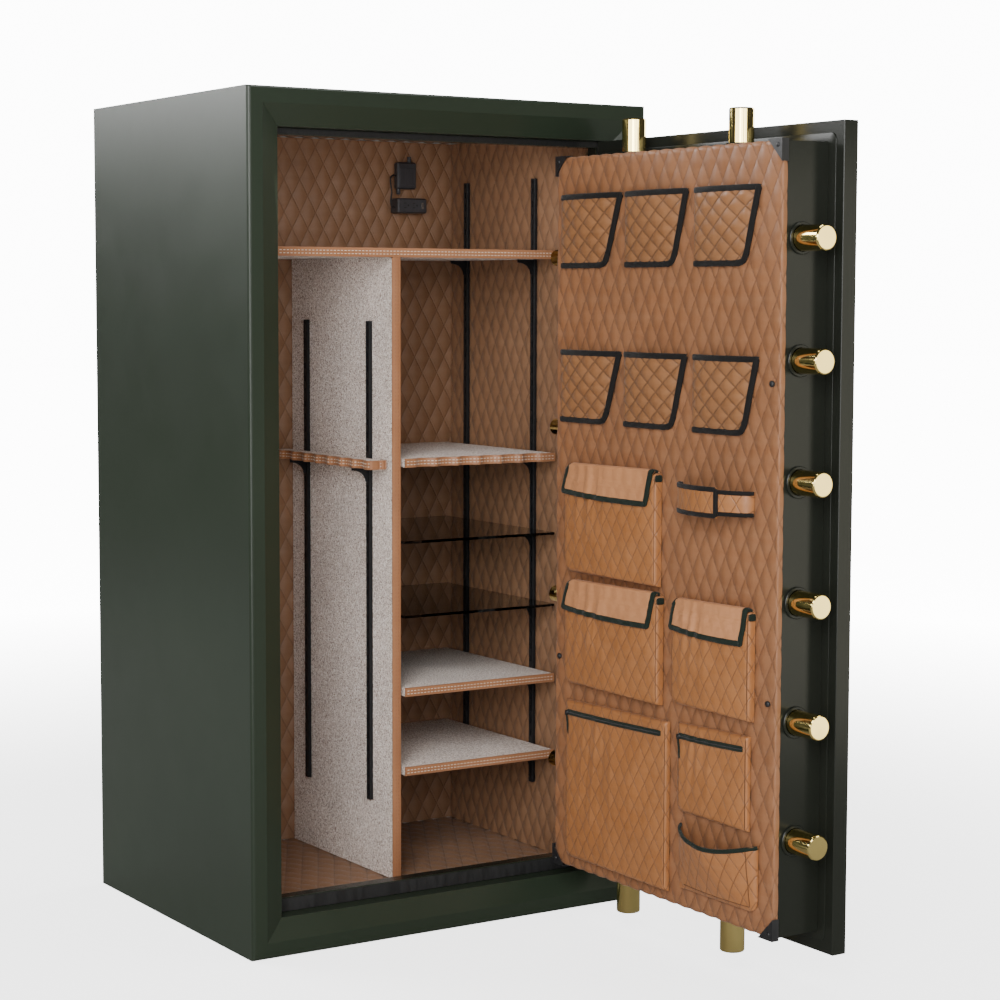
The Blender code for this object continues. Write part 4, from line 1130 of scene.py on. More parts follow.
def flap(node, grid, flap_bottom, seed):
    """The plain flap: sewn to the panel above the pocket, folded over its top, hanging on its front."""
    across, t = np.meshgrid(np.linspace(0, 1, 61), np.linspace(0, 1, 53))
    out = np.clip(t / FLAP_FOLD, 0, 1)
    down = np.clip((t - FLAP_FOLD) / (1 - FLAP_FOLD), 0, 1)
    start = 0.050 * (1 - down) - 0.012 * down
    stop = 0.985 - 0.045 * down
    s = start + (stop - start) * across
    inside = np.clip(s, 0.02, 0.98)
    front_top = front_level(grid, inside, np.full_like(s, FLAP_FRONT)) + FLAP_STAND
    corner = np.clip(1 - across / 0.10, 0, 1) ** 2 * (1 - down)
    far_corner = np.clip((across - 0.92) / 0.08, 0, 1) ** 2 * (1 - down)
    root_z = grid["top"] + 0.0030 - 0.0080 * corner - 0.0030 * far_corner - 0.0030 * (1 - across)
    fall = root_z - flap_bottom - 0.006 * (1 - across)
    wave = np.zeros_like(s)
    for place, width, depth in FLAP_CREASES:
        wave += depth * np.exp(-((s - place - 0.03 * (1 - t)) / width) ** 2)
    z = root_z - fall * down ** 1.15 + 0.0035 * np.sin(math.pi * out) * (1 - down)
    height = np.clip((z - grid["bottom"]) / grid["tall"], 0.02, FLAP_FRONT)
    front = front_level(grid, inside, height) + FLAP_STAND
    hanging = front_top + (front - front_top) * np.clip(down * 3, 0, 1)
    level = np.where(down > 0, hanging, front_top * np.sin(out * math.pi / 2))
    creases = wrinkles(np.stack([s * grid["wide"], t * 0.05], -1), seed, 0.09, 0.0010)
    level = np.maximum(level + wave * down ** 0.7 * 1.1 + creases * out, 0.0015)
    z = z - 0.0025 * arch(across, 1.0) * down ** 3
    a, _ = front_shape(grid, s, t, np.clip(level / front_top, 0, 1))
    flat = np.stack([s * grid["wide"], t * (fall + 0.02)], -1)
    outer = on_panel(a, z + FLAP_THICK * 0.5 * (down < 0.02), level)
    inner = on_panel(a, z - FLAP_THICK * 0.5 * (down < 0.02), np.maximum(level - FLAP_THICK, 0.0004))
    made = sewn_leather(node + "_flap", outer, inner, flat, "flap")
    parts = Parts()
    rows, columns = outer.shape[:2]
    loop = [(j, 1) for j in range(3, rows - 1)] + [(rows - 2, i) for i in range(1, columns - 1)]
    loop += [(j, columns - 2) for j in range(rows - 2, 2, -1)]
    path, normals = edge_frame(outer, inner, loop, 1)
    sweep(parts, path, normals, 0.0100, 0.0054)
    lifts = np.linspace(0.001, grid["edge"] + 0.001, 8)
    wall = [on_panel(grid["right"] + 0.0006, grid["top"] - 0.0085, lift) for lift in lifts]
    sweep(parts, wall, [(0, -1, 0)] * len(wall), 0.0120, 0.0030)
    sewn(parts, node + "_flap_binding", "green_tape")


def flap_pocket(node, edge, swell, flap_drop, seed):
    """A full pocket under a flap."""
    grid = closed_pocket_grid(node, edge, swell, seed, 0.04)
    quilt_front(grid)
    pocket_leather_piece(node, grid)
    welt(node, grid)
    flap(node, grid, grid["top"] - flap_drop, seed)


def zip_pocket(node, edge, swell, seed):
    """A flat pocket with a green zip near its top and a pull hanging at the zip's left end."""
    grid = closed_pocket_grid(node, edge, swell, seed, 0.02)
    zip_z = grid["top"] - ZIP_BELOW
    quilt_front(grid, zip_z - 0.012)
    pocket_leather_piece(node, grid)
    welt(node, grid)
    parts, coil, stitched = Parts(), Parts(), Parts()
    path, edges = [], {-1: [], 1: []}
    for k in range(ZIP_STEPS + 1):
        s = 0.004 + ZIP_COVERS * k / ZIP_STEPS
        height = (zip_z - 0.002 * math.sin(math.pi * s) - grid["bottom"]) / grid["tall"]
        level = front_level(grid, s, height)
        a, z = front_shape(grid, s, height)
        path.append(on_panel(a, z, level + 0.0004))
        for side in edges:
            edges[side].append(on_panel(a, z + side * 0.0066, level + 0.0004))
    normals = [OFF_PANEL] * len(path)
    sweep(parts, path, normals, ZIP_TAPE, 0.0022)
    sewn(parts, node + "_zip_tape", "green_tape")
    teeth = [p + np.array([-0.0010, 0, 0]) for p in path]
    stitches(coil, teeth, normals, 0.0020, 0.0013, 0.0026)
    slider(coil, path[1])
    sewn(coil, node + "_zip_teeth", "plastic")
    for side in edges:
        stitches(stitched, edges[side], normals, 0.0042, 0.0028, 0.0006)
    sewn(stitched, node + "_zip_stitches", "tan_thread")
    tail = Parts()
    end = np.array(path[1]) + np.array([-0.0030, 0, -0.004])
    line = [end + np.array([0.0004 * k, 0.0004 * math.sin(k), -0.0036 * k]) for k in range(11)]
    sweep(tail, line, [OFF_PANEL] * len(line), 0.0048, 0.0018, 10)
    sewn(tail, node + "_zip_pull", "green_tape")


def slider(parts, place):
    """A zip's slider and the tongue that hangs on it."""
    x, y, z = place
    parts.block((x - 0.0042, y - 0.0050, z - 0.0034), (x - 0.0004, y + 0.0050, z + 0.0034), 0.0010)
    parts.block((x - 0.0056, y - 0.0018, z - 0.0060), (x - 0.0040, y + 0.0018, z + 0.0012), 0.0005)


def butt_pocket():
    """The deep open pocket for a gun's butt, its curved mouth bound in green."""
    node = "butt_pocket"
    left, right, bottom, top, stand = pocket_box(node)
    s, t = np.meshgrid(np.linspace(0, 1, 61), np.linspace(0, 1, 41))
    a = left + (right - left) * s
    z = bottom + (top - BUTT_DIP * arch(s, 1.0) - bottom) * t
    flat = np.stack([a - left, z - bottom], -1)
    a, z = rounded_corner(a, z, right, bottom, BUTT_CORNER)
    lift = open_lift(stand, BUTT_THICK, s, t)
    lift = np.maximum(lift + wrinkles(flat, 31, 0.07, 0.0022) * arch(s, 0.5) * t, 0.0)
    rim = np.minimum(np.minimum(s, 1 - s) * (right - left), t * (top - bottom))
    sink = POCKET_SEAM_DEPTH * (1 - puff(flat, POCKET_DIAMOND)) * np.clip((rim - 0.008) / 0.006, 0, 1)
    outer = on_panel(a, z, lift + np.maximum(BUTT_THICK - sink, 0.0014))
    inner = on_panel(a, z, np.maximum(lift, 0.0002))
    made = sewn_leather(node + "_leather", outer, inner, flat, "quilted")
    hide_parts(node)
    rows, columns = outer.shape[:2]
    parts = Parts()
    path, normals = edge_frame(outer, inner, [(rows - 2, i) for i in range(columns)])
    sweep(parts, path, normals, 0.0075, 0.0052)
    sewn(parts, node + "_binding", "green_tape")
    # Painted shade: a thin dark leather strip along the seam inside the rim stands for the shade in the seam's
    # groove.
    hem = Parts()
    loop = [(j, columns - 5) for j in range(rows - 2, 2, -1)] + [(3, i) for i in range(columns - 5, 3, -1)]
    _, normals = edge_frame(outer, inner, loop)
    sweep(hem, [outer[j, i] for j, i in loop], normals, 0.0016, 0.0014, 8)
    sewn(hem, node + "_seam_shadow", "welt")


def strap():
    """The padded strap: one half laps over the other, bound in black along both edges."""
    node = "long_gun_strap"
    left, right, bottom, top, stand = pocket_box(node)
    tape = Parts()
    halves = (("outer", STRAP_LAP, STRAP_UNDER, STRAP_OVER, 0.0),
              ("inner", 1.0, 0.0, STRAP_UNDER - 0.0003, 0.0045))
    for name, stop, near, far, inset in halves:
        s, t = np.meshgrid(np.linspace(0.0, stop, 70), np.linspace(0, 1, 15))
        a = left + (right - left) * s
        z = bottom + inset + (top - bottom - 2 * inset) * t
        base = (stand - STRAP_OVER) * arch(s, 0.5) + 0.0004
        flat = np.stack([s * (right - left) * 1.15, z - bottom + 0.02], -1)
        rim = np.clip(np.minimum(t, 1 - t) * 8, 0, 1)
        sink = STRAP_SEAM_DEPTH * (1 - puff(flat, POCKET_DIAMOND)) * rim
        outer = on_panel(a, z, base + far - sink - STRAP_RIM * (1 - rim))
        inner = on_panel(a, z, base + near)
        made = sewn_leather(f"{node}_{name}", outer, inner, flat, "quilted")
        rows, columns = outer.shape[:2]
        if name == "outer":
            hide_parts(node)
            loop = [(1, i) for i in range(columns - 1)] + [(j, columns - 2) for j in range(1, rows - 1)]
            loop += [(rows - 2, i) for i in range(columns - 2, -1, -1)]
            path, normals = edge_frame(outer, inner, loop)
            sweep(tape, path, normals, 0.0085, 0.0056)
        else:
            for row in (1, rows - 2):
                path, normals = edge_frame(outer, inner, [(row, i) for i in range(columns)], 1)
                sweep(tape, path, normals, 0.0075, 0.0048)
    sewn(tape, node + "_binding", "black_tape")


def pockets():
    """Everything that is sewn to the door panel."""
    seed = 1
    for row in ("upper", "lower"):
        for place, slant in ((1, 0.049), (2, 0.041), (3, 0.039)):
            holster(f"holster_{row}_{place}", slant, seed)
            seed += 1
    flap_pocket("flap_pocket_upper", 0.014, 0.010, 0.055, 11)
    flap_pocket("flap_pocket_lower", 0.014, 0.010, 0.0555, 12)
    flap_pocket("flap_pocket_small", 0.013, 0.009, 0.0545, 13)
    zip_pocket("zip_pocket_large", 0.010, 0.006, 14)
    zip_pocket("zip_pocket_small", 0.009, 0.005, 15)
    butt_pocket()
    strap()


# ------------------------------------------------------------------ shelves and divider


def offset_outline(points, inset):
    """Moves a closed outline inwards by inset, corner by corner."""
    count = len(points)
    moved = []
    for k in range(count):
        before, here, after = (Vector(points[(k + d) % count]) for d in (-1, 0, 1))
        first, second = (here - before).normalized(), (after - here).normalized()
        normal = Vector((-(first + second).y, (first + second).x))
        normal = normal.normalized() if normal.length > 1e-6 else Vector((-first.y, first.x))
        moved.append(tuple(here + normal * inset))
    return moved


def carpeted_board(node, outline, low, high):
    """A board under carpet, its edges rounded over."""
    parts = Parts()
    edge = 0.0022
    rings = []
    for angle in quarter(3):
        inset, lift = edge * (1 - math.sin(angle)), edge * (1 - math.cos(angle))
        rings.append([(x, y, low + lift) for x, y in offset_outline(outline, inset)])
    rings += [[(x, y, low + high - z) for x, y, z in ring] for ring in reversed(rings)]
    parts.loft(rings)
    made = parts.make(node + "_carpet", "carpet", "cabinet", "carpet", 40.0)
    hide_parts(node)


def edge_band(name, path, outs, low, high):
    """Leather folded over a board's front edge, with two rows of white stitches."""
    path = [Vector((*p, 0.0)) for p in path]
    outs = [Vector((*o, 0.0)).normalized() for o in outs]
    profile = [(-BAND_LIP, low - 0.0005), (-0.0004, low - 0.0006)]
    for k in range(9):
        share = k / 8
        profile.append((BAND_PROUD + BAND_SWELL * math.sin(math.pi * share), low + (high - low) * share))
    profile += [(-0.0004, high + 0.0006), (-BAND_LIP, high + 0.0005), (-BAND_LIP, high - 0.0010)]
    profile += [(-0.0006, high - 0.0012), (-0.0006, low + 0.0012), (-BAND_LIP, low + 0.0010)]
    band, thread_rows = Parts(), Parts()
    band.loft([[tuple(p + o * out + Vector((0, 0, z))) for out, z in profile] for p, o in zip(path, outs)])
    band.make(name + "_leather", "edging", "cabinet", "carpet", 50.0)
    middle = (low + high) / 2
    for side in (-0.5, 0.5):
        z = middle + side * STITCH_ROWS
        row = [p + o * (BAND_PROUD + BAND_SWELL * 0.93) + Vector((0, 0, z)) for p, o in zip(path, outs)]
        stitches(thread_rows, row, outs)
    thread_rows.make(name + "_stitches", "white_thread", "cabinet", "carpet", 60.0)


def front_points(node, axis, sign):
    """The outline's points along the side that faces sign on the axis, in order, from the CAD node."""
    low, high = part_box(node)
    other = 1 - axis
    depth = 0.0125
    edge = high[axis] if sign > 0 else low[axis]
    found = {}
    for vertex in NODES[node].data.vertices:
        x, y, z = vertex.co
        if abs(z - low.z) < 1e-5 and abs(vertex.co[axis] - edge) < depth:
            found[round(vertex.co[other], 5)] = (x, y)
    return [found[key] for key in sorted(found)]


def refined(points, step):
    """Adds points on the straight stretches so that no gap is longer than step."""
    path = [points[0]]
    for a, b in zip(points, points[1:]):
        count = max(1, math.ceil((Vector(b) - Vector(a)).length / step))
        path += [tuple(Vector(a).lerp(Vector(b), k / count)) for k in range(1, count + 1)]
    return path


def smooth_scallops(points, axis):
    """The scalloped edge with each notch as a round curve and soft horns between notches."""
    low = min(p[axis] for p in points)
    high = max(p[axis] for p in points)
    path = refined(points, 0.003)
    line = np.array(path, float)
    for _ in range(6):
        line[1:-1, axis] = (line[:-2, axis] + 2 * line[1:-1, axis] + line[2:, axis]) / 4
    line[:, axis] = np.clip(line[:, axis], low, high)
    return [tuple(p) for p in line]


def outs_of(path, axis, sign):
    """Unit normals of an edge path, on the side that faces sign on the axis."""
    outs = []
    for k in range(len(path)):
        ahead = Vector(path[min(k + 1, len(path) - 1)]) - Vector(path[max(k - 1, 0)])
        normal = Vector((-ahead.y, ahead.x)).normalized()
        outs.append(tuple(normal if normal[axis] * sign > 0 else -normal))
    return outs


def shelves():
    """The boards under carpet, each with its leather edge."""
    for node in ("top_shelf", "carpet_shelf_upper", "carpet_shelf_lower", "barrel_shelf"):
        low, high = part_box(node)
        edge = front_points(node, 1, -1)
        edge = smooth_scallops(edge, 1) if node == "barrel_shelf" else refined(edge, 0.02)
        outline = edge + [(high.x, high.y), (low.x, high.y)]
        carpeted_board(node, outline, low.z, high.z)
        edge_band(node + "_edge", edge, outs_of(edge, 1, -1), low.z, high.z)
    node = "barrel_rest"
    low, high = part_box(node)
    edge = smooth_scallops(front_points(node, 0, -1), 0)
    outline = edge[::-1] + [(high.x, low.y), (high.x, high.y)]
    carpeted_board(node, outline, low.z, high.z)
    path = [(high.x, low.y)] + edge
    path = refined([path[0], path[1]], 0.004) + path[2:]
    outs = outs_of(path, 0, -1)
    outs[0] = (0, -1)
    edge_band(node + "_edge", path, outs, low.z, high.z)


def divider():
    """The carpeted upright between the two bays, with leather down its front edge."""
    low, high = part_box("divider_panel")
    parts = Parts()
    edge = 0.0018
    outline = [(low.x, low.y + edge), (low.x + edge, low.y), (high.x - edge, low.y), (high.x, low.y + edge)]
    outline += [(high.x, high.y), (low.x, high.y)]
    count = 40
    levels = [low.z + (high.z - low.z) * k / count for k in range(count + 1)]
    parts.loft([[(x, y, z) for x, y in outline] for z in levels])
    made = parts.make("divider_carpet", "carpet", "cabinet", "carpet", 40.0)
    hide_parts("divider_panel")
    band, thread_rows = Parts(), Parts()
    middle, half = (low.x + high.x) / 2, (high.x - low.x) / 2
    profile = [(-half - 0.0005, 0.0030), (-half - 0.0006, 0.0006)]
    for k in range(7):
        share = k / 6
        profile.append((-half + 2 * half * share, -0.0004 - 0.0008 * math.sin(math.pi * share)))
    profile += [(half + 0.0006, 0.0006), (half + 0.0005, 0.0030)]
    profile += [(half - 0.0008, 0.0030), (-half + 0.0008, 0.0030)]
    band.loft([[(middle + x, low.y + y, z) for x, y in profile] for z in levels])
    band.make("divider_edge_leather", "edging", "cabinet", "carpet", 50.0)
    for side in (-0.5, 0.5):
        line = [(middle + side * STITCH_ROWS, low.y - 0.0011, z) for z in levels]
        stitches(thread_rows, line, [(0, -1, 0)] * len(line))
    thread_rows.make("divider_edge_stitches", "tan_thread", "cabinet", "carpet", 60.0)


# ------------------------------------------------------------------ uprights, glass and power


def upright(node, out):
    """A rolled steel channel with a row of slots, and the gusset brackets hooked into it."""
    low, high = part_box(node)
    wall = low.x if out > 0 else high.x
    y = (low.y + high.y) / 2
    half = (high.y - low.y) / 2
    face = wall + out * CHANNEL_DEEP
    parts = Parts()
    lips = sorted((wall, face - out * CHANNEL_SHEET))
    web = sorted((face, face - out * CHANNEL_SHEET))
    for side in (-1, 1):
        ys = sorted((y + side * half, y + side * (half - CHANNEL_SHEET)))
        parts.block((lips[0], ys[0], low.z), (lips[1], ys[1], high.z), 0.0004)
        ys = sorted((y + side * half, y + side * SLOT_WIDE / 2))
        parts.block((web[0], ys[0], low.z), (web[1], ys[1], high.z), 0.0003)
    count = int((high.z - low.z - 0.02) / SLOT_PITCH)
    first = low.z + 0.018
    tops = [low.z] + [first + k * SLOT_PITCH + SLOT_LONG for k in range(count)]
    bottoms = [first + k * SLOT_PITCH for k in range(count)] + [high.z]
    reach = SLOT_WIDE / 2 + 0.0002
    for z0, z1 in zip(tops, bottoms):
        parts.block((web[0] + 0.0002, y - reach, z0), (web[1] - 0.0002, y + reach, z1), 0.0002)
    back = sorted((wall + out * 0.0004, wall + out * 0.0010))
    corner = (back[0], y - half + CHANNEL_SHEET, low.z + 0.001)
    parts.block(corner, (back[1], y + half - CHANNEL_SHEET, high.z - 0.001), 0.0002)
    for z in (low.z + 0.009, high.z - 0.007):
        stations = [(face + out * rise, radius)
                    for rise, radius in ((-0.0004, 0.0036), (0.0006, 0.0034), (0.0012, 0.0018))]
        parts.lathe((0, y, z), stations, "x", 20)
    for z in bracket_heights(node, wall, out):
        gusset(parts, wall, out, y, z)
    made = parts.make(node + "_channel", "upright", "cabinet", "black_steel", 35.0)
    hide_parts(node)


def bracket_heights(node, wall, out):
    """Undersides of the shelves that the upright carries, read from its CAD solid."""
    low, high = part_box(node)
    reach = max(high.x - low.x - 0.012, 0.02)
    far = [v.co for v in NODES[node].data.vertices if (v.co.x - wall) * out > reach]
    return sorted({round(max(c.z for c in far if abs(c.z - v.z) < 0.01), 4) for v in far})


def gusset(parts, wall, out, y, top):
    """A pressed bracket: a curved gusset under a flat seat."""
    face = wall + out * CHANNEL_DEEP
    curve = []
    for angle in quarter(8):
        away = GUSSET_LEG + (GUSSET_REACH - GUSSET_LEG) * (1 - math.cos(angle))
        drop = (GUSSET_TALL - GUSSET_SEAT) * (1 - math.sin(angle))
        curve.append((face + out * away, top - GUSSET_SEAT - drop))
    outline = [(face - out * 0.0015, top), (face + out * GUSSET_REACH, top)]
    outline += curve[::-1] + [(face - out * 0.0015, top - GUSSET_TALL)]
    offsets = (-GUSSET_HALF, -GUSSET_HALF + 0.0004, GUSSET_HALF - 0.0004, GUSSET_HALF)
    parts.loft([[(x, y + offset, z) for x, z in outline] for offset in offsets])
    seat = sorted((face, face + out * GUSSET_REACH))
    parts.block((seat[0], y - 0.005, top - 0.0018), (seat[1], y + 0.005, top - 0.0001), 0.0004)


def uprights():
    """The six slotted standards; out is the side that their brackets reach to."""
    for place in ("rear", "front"):
        upright(f"standard_right_wall_{place}", -1)
        upright(f"standard_divider_right_{place}", 1)
        upright(f"standard_divider_left_{place}", -1)


def glass_shelves():
    """The two glass shelves, kept from the frame."""
    for node in ("glass_shelf_upper", "glass_shelf_lower"):
        keep(node, "glass", 0.0009, 3)


def power_kit():
    """The outlet strip with two sockets and a charging port, the adapter and the lead between them."""
    low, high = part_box("outlet_strip")
    strip, dark, metal = Parts(), Parts(), Parts()
    strip.block(tuple(low), tuple(high), 0.0022)
    bezel = low.y - 0.0005
    corner = (low.x + 0.003, bezel, low.z + 0.003)
    strip.block(corner, (high.x - 0.003, low.y + 0.001, high.z - 0.003), 0.0004)
    made = strip.make("outlet_strip_case", "case", "cabinet", "black_plastic", 35.0)
    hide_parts("outlet_strip")
    wide = high.x - low.x
    # Painted shade: the sockets' slots and round holes are thin dark rubber plates on the face, standing for
    # the shade inside real holes.
    for share in (0.26, 0.56):
        x = low.x + wide * share
        for z in (low.z + 0.010, low.z + 0.019):
            dark.block((x - 0.0045, bezel - 0.0002, z), (x + 0.0015, bezel + 0.0004, z + 0.0017), 0.0001)
        stations = ((bezel - 0.0002, 0.0021), (bezel + 0.0004, 0.0021))
        dark.lathe((x + 0.0058, 0, low.z + 0.0155), stations, "y", 20)
    x = low.x + wide * 0.84
    corner = (x - 0.0020, bezel - 0.0003, low.z + 0.009)
    metal.block(corner, (x + 0.0020, bezel + 0.0004, low.z + 0.021), 0.0003)
    # Painted shade: a dark plate inside the charging port stands for the shade in its opening.
    dark.block((x - 0.0011, bezel - 0.0005, low.z + 0.010), (x + 0.0011, bezel, low.z + 0.020), 0.0001)
    dark.make("outlet_slots", "rubber", "cabinet", "black_plastic", 40.0)
    metal.make("charging_port", "steel", "cabinet", "black_plastic", 40.0)
    low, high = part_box("power_adapter")
    adapter = Parts()
    adapter.block((ADAPTER_LEFT, low.y, ADAPTER_LOW), (ADAPTER_RIGHT, high.y, ADAPTER_HIGH), 0.0030)
    panel_high = (ADAPTER_RIGHT - 0.0045, low.y + 0.001, ADAPTER_HIGH - 0.012)
    adapter.block((ADAPTER_LEFT + 0.0045, low.y - 0.0004, ADAPTER_LOW + 0.008), panel_high, 0.0004)
    middle = (low.y + high.y) / 2
    relief = [(ADAPTER_HIGH + rise, radius) for rise, radius in (
        (-0.001, 0.0048), (0.004, 0.0046), (0.0045, 0.0036), (0.008, 0.0036), (0.0085, 0.0042))]
    relief += [(high.z - 0.0006, 0.0040), (high.z, 0.0034)]
    adapter.lathe((0.2600, middle, 0), relief, "z", 32)
    sleeve = ((low.z, 0.0030), (low.z + 0.002, 0.0044), (ADAPTER_LOW + 0.001, 0.0046))
    adapter.lathe((0.2342, middle, 0), sleeve, "z", 32)
    made = adapter.make("power_adapter_case", "case", "cabinet", "black_plastic", 35.0)
    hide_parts("power_adapter")


def jumper_cord():
    """The short lead that loops from the adapter down to the outlet strip."""
    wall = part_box("outlet_strip")[1].y
    points = [Vector((x, wall + y, z)) for x, y, z in LEAD_ROUTE]
    dense = smooth_path(points, 6)
    parts = Parts()
    rings = []
    for k, point in enumerate(dense):
        ahead = (dense[min(k + 1, len(dense) - 1)] - dense[max(k - 1, 0)]).normalized()
        side = ahead.cross(Vector((0, 1, 0))).normalized()
        up = side.cross(ahead)
        rings.append([tuple(point + (side * math.cos(angle) + up * math.sin(angle)) * LEAD_DIAMETER / 2)
                      for angle in turns(16)])
    parts.loft(rings)
    made = parts.make("jumper_lead", "rubber", "cabinet", "seal_rubber", 60.0)
    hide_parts("jumper_cord")


def smooth_path(points, steps):
    """A Catmull-Rom curve through the points."""
    ends = [points[0] * 2 - points[1]] + points + [points[-1] * 2 - points[-2]]
    path = []
    for a, b, c, d in zip(ends, ends[1:], ends[2:], ends[3:]):
        for k in range(steps):
            t = k / steps
            lower = (2 * b) + (c - a) * t + (2 * a - 5 * b + 4 * c - d) * t ** 2
            path.append(0.5 * (lower + (3 * b - a - 3 * c + d) * t ** 3))
    path.append(points[-1])
    return path


# ------------------------------------------------------------------ steel kept from the frame


def keep(node, paint, bevel=0.0, segments=2, angle=30.0):
    """Gives a CAD node its material, and softens its edges with a bevel."""
    made = NODES[node]
    made.data.materials.clear()
    made.data.materials.append(PAINT[paint])
    if bevel:
        step = made.modifiers.new("soft_edges", "BEVEL")
        step.width = bevel
        step.segments = segments
        step.limit_method = "ANGLE"
        step.angle_limit = math.radians(angle)
        step.harden_normals = False
    smooth = made.modifiers.new("weighted", "WEIGHTED_NORMAL")
    smooth.keep_sharp = False
    made.data.polygons.foreach_set("use_smooth", [True] * len(made.data.polygons))


def steelwork():
    """The pieces that are kept from the frame, with their paint and softened edges."""
    keep("body_shell", "green", 0.0009, 2, 20.0)
    keep("strike_frame", "black", 0.0005)
    keep("frame_seal", "rubber", 0.0005)
    keep("fireboard_liner", "board")
    keep("door_slab", "black", 0.0012, 3)
    keep("slab_fireboard", "board")
    keep("bolt_box", "black", 0.0012, 3)
    for place in ("lower", "upper"):
        keep(f"hinge_block_{place}", "green", 0.0006)
        keep(f"hinge_leaf_{place}", "green", 0.0006)
    for end in ("bottom", "top"):
        for side in ("free", "hinge"):
            keep(f"corner_bracket_{side}_{end}", "plastic", 0.0004)
    keep("lock_body", "steel", 0.0008)
    keep("lock_bolt", "brass", 0.0006)
    keep("drive_gear", "steel", 0.0003)
    keep("handle", "brass")
    keep("combination_dial", "black")


def slab_step():
    """The thin raised plate on the door's inner face that the bolt housing stands on."""
    low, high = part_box("door_slab")
    face = low.x
    thick, soft = 0.0014, 0.0010
    outer = rounded_frame(low.y + 0.0185, high.y - 0.0080, low.z + 0.0190, high.z - 0.0190, 0.012)
    inner = rounded_frame(low.y + 0.0360, high.y - 0.0125, low.z + 0.0330, high.z - 0.0330, 0.004)
    profile = [(0.0, 0.00002)]
    for angle in quarter(3):
        profile.append((soft * (1 - math.cos(angle)), thick - soft * (1 - math.sin(angle))))
    rings = [[(face - rise, y, z) for y, z in shrunk(outer, inset)] for inset, rise in profile]
    rings.append([(face - thick, y, z) for y, z in inner])
    rings.append([(face - 0.00002, y, z) for y, z in inner])
    parts = Parts()
    parts.loft(rings, closed=True)
    parts.make("slab_step", "black", "door", "black_steel", 25.0)


def rounded_frame(y0, y1, z0, z1, radius):
    """A rectangle in Y and Z with round corners, eight steps a corner."""
    points = []
    for y, z, turn in ((y1 - radius, z1 - radius, 0), (y0 + radius, z1 - radius, 1),
                       (y0 + radius, z0 + radius, 2), (y1 - radius, z0 + radius, 3)):
        for k in range(9):
            angle = math.pi / 2 * (turn + k / 8)
            points.append((y + radius * math.cos(angle), z + radius * math.sin(angle)))
    return points


def shrunk(points, inset):
    """The outline moved towards its middle by inset on every side."""
    middle = [(min(p[k] for p in points) + max(p[k] for p in points)) / 2 for k in range(2)]
    return [tuple(p[k] - math.copysign(inset, p[k] - middle[k]) for k in range(2)) for p in points]


# ------------------------------------------------------------------ bolts


def smooth_bolts(node, body, axis, centres, start, stop):
    """The CAD carrier with its faceted bolts thinned inside smooth turned ones."""
    shape = NODES[node].data
    sign = 1 if stop > start else -1
    along = "xyz".index(axis)
    points = np.array([tuple(v.co) for v in shape.vertices])
    across = [i for i in range(3) if i != along]
    for centre in centres:
        offset = points[:, across] - np.array([centre[i] for i in across])
        far = np.linalg.norm(offset, axis=1)
        rim = (far > BOLT_RADIUS - 0.0025) & (far < BOLT_RADIUS + 0.0002)
        points[np.ix_(rim, across)] -= offset[rim] * 0.06
        tip = (far < BOLT_RADIUS + 0.0002) & (np.abs(points[:, along] - stop) < 0.004)
        points[tip, along] -= sign * 0.004
    parts = Parts()
    parts.add(points, [tuple(f.vertices) for f in shape.polygons])
    stop_in = stop - sign * BOLT_CHAMFER
    stations = [(start, BOLT_RADIUS - 0.0004), (start + sign * 0.0004, BOLT_RADIUS), (stop_in, BOLT_RADIUS)]
    stations.append((stop - sign * BOLT_CHAMFER * 0.3, BOLT_RADIUS - BOLT_CHAMFER * 0.35))
    stations.append((stop, BOLT_RADIUS - BOLT_CHAMFER))
    for centre in centres:
        parts.lathe(centre, stations, axis)
    made = parts.make(node + "_turned", "brass", body, "brass", 16.0)
    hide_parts(node)
    rings = Parts()
    base = stop - sign * BOLT_OUT
    top = base + sign * COLLAR_HIGH
    stations = [(base, BOLT_RADIUS + 0.0009), (base, COLLAR_RADIUS), (top - sign * 0.0010, COLLAR_RADIUS)]
    stations += [(top, COLLAR_RADIUS - 0.0010), (top, BOLT_RADIUS + 0.0009)]
    for centre in centres:
        rings.lathe(centre, stations, axis, closed=True)
    rings.make(node + "_collars", "black", "door", "black_steel", 35.0)


def bolt_groups():
    """Six bolts towards the free edge, two up, two down, and the fixed pins by the hinges."""
    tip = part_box("side_bolts")[0].y
    centres = [(BOLT_X, 0.0, BOLT_MID_Z + BOLT_PITCH * (k - 2.5)) for k in range(6)]
    smooth_bolts("side_bolts", "free_side_bolts", "y", centres, tip + BOLT_SHOWN, tip)
    centres = [(BOLT_X, END_BOLT_MIDDLE_Y + side * END_BOLT_APART, 0.0) for side in (-1, 1)]
    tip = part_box("top_bolts")[1].z
    smooth_bolts("top_bolts", "upper_bolts", "z", centres, tip - BOLT_SHOWN, tip)
    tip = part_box("bottom_bolts")[0].z
    smooth_bolts("bottom_bolts", "lower_bolts", "z", centres, tip + BOLT_SHOWN, tip)
    keep("hinge_side_bolts", "brass", 0.0004, 2, 40.0)


# ------------------------------------------------------------------ small trim


def push_rivets():
    """Black push rivets that hold the panel, and the heads in its corner brackets."""
    parts = Parts()
    wide = HINGE_EDGE_Y - PANEL_LOW.y
    for a, z in ((0.039, 1.009), (wide - 0.0195, 1.009), (wide - 0.0205, 0.490), (0.0144, 0.490)):
        rivet(parts, a, z, 0.0052, 0.0)
    parts.make("panel_rivets", "plastic", "door", "black_plastic", 60.0)
    heads = Parts()
    for z in (PANEL_LOW.z + 0.0085, PANEL_HIGH.z - 0.0085):
        for a in (0.0085, wide - 0.0085):
            rivet(heads, a, z, 0.0040, 0.0020)
    heads.make("bracket_rivets", "plastic", "door", "black_plastic", 60.0)


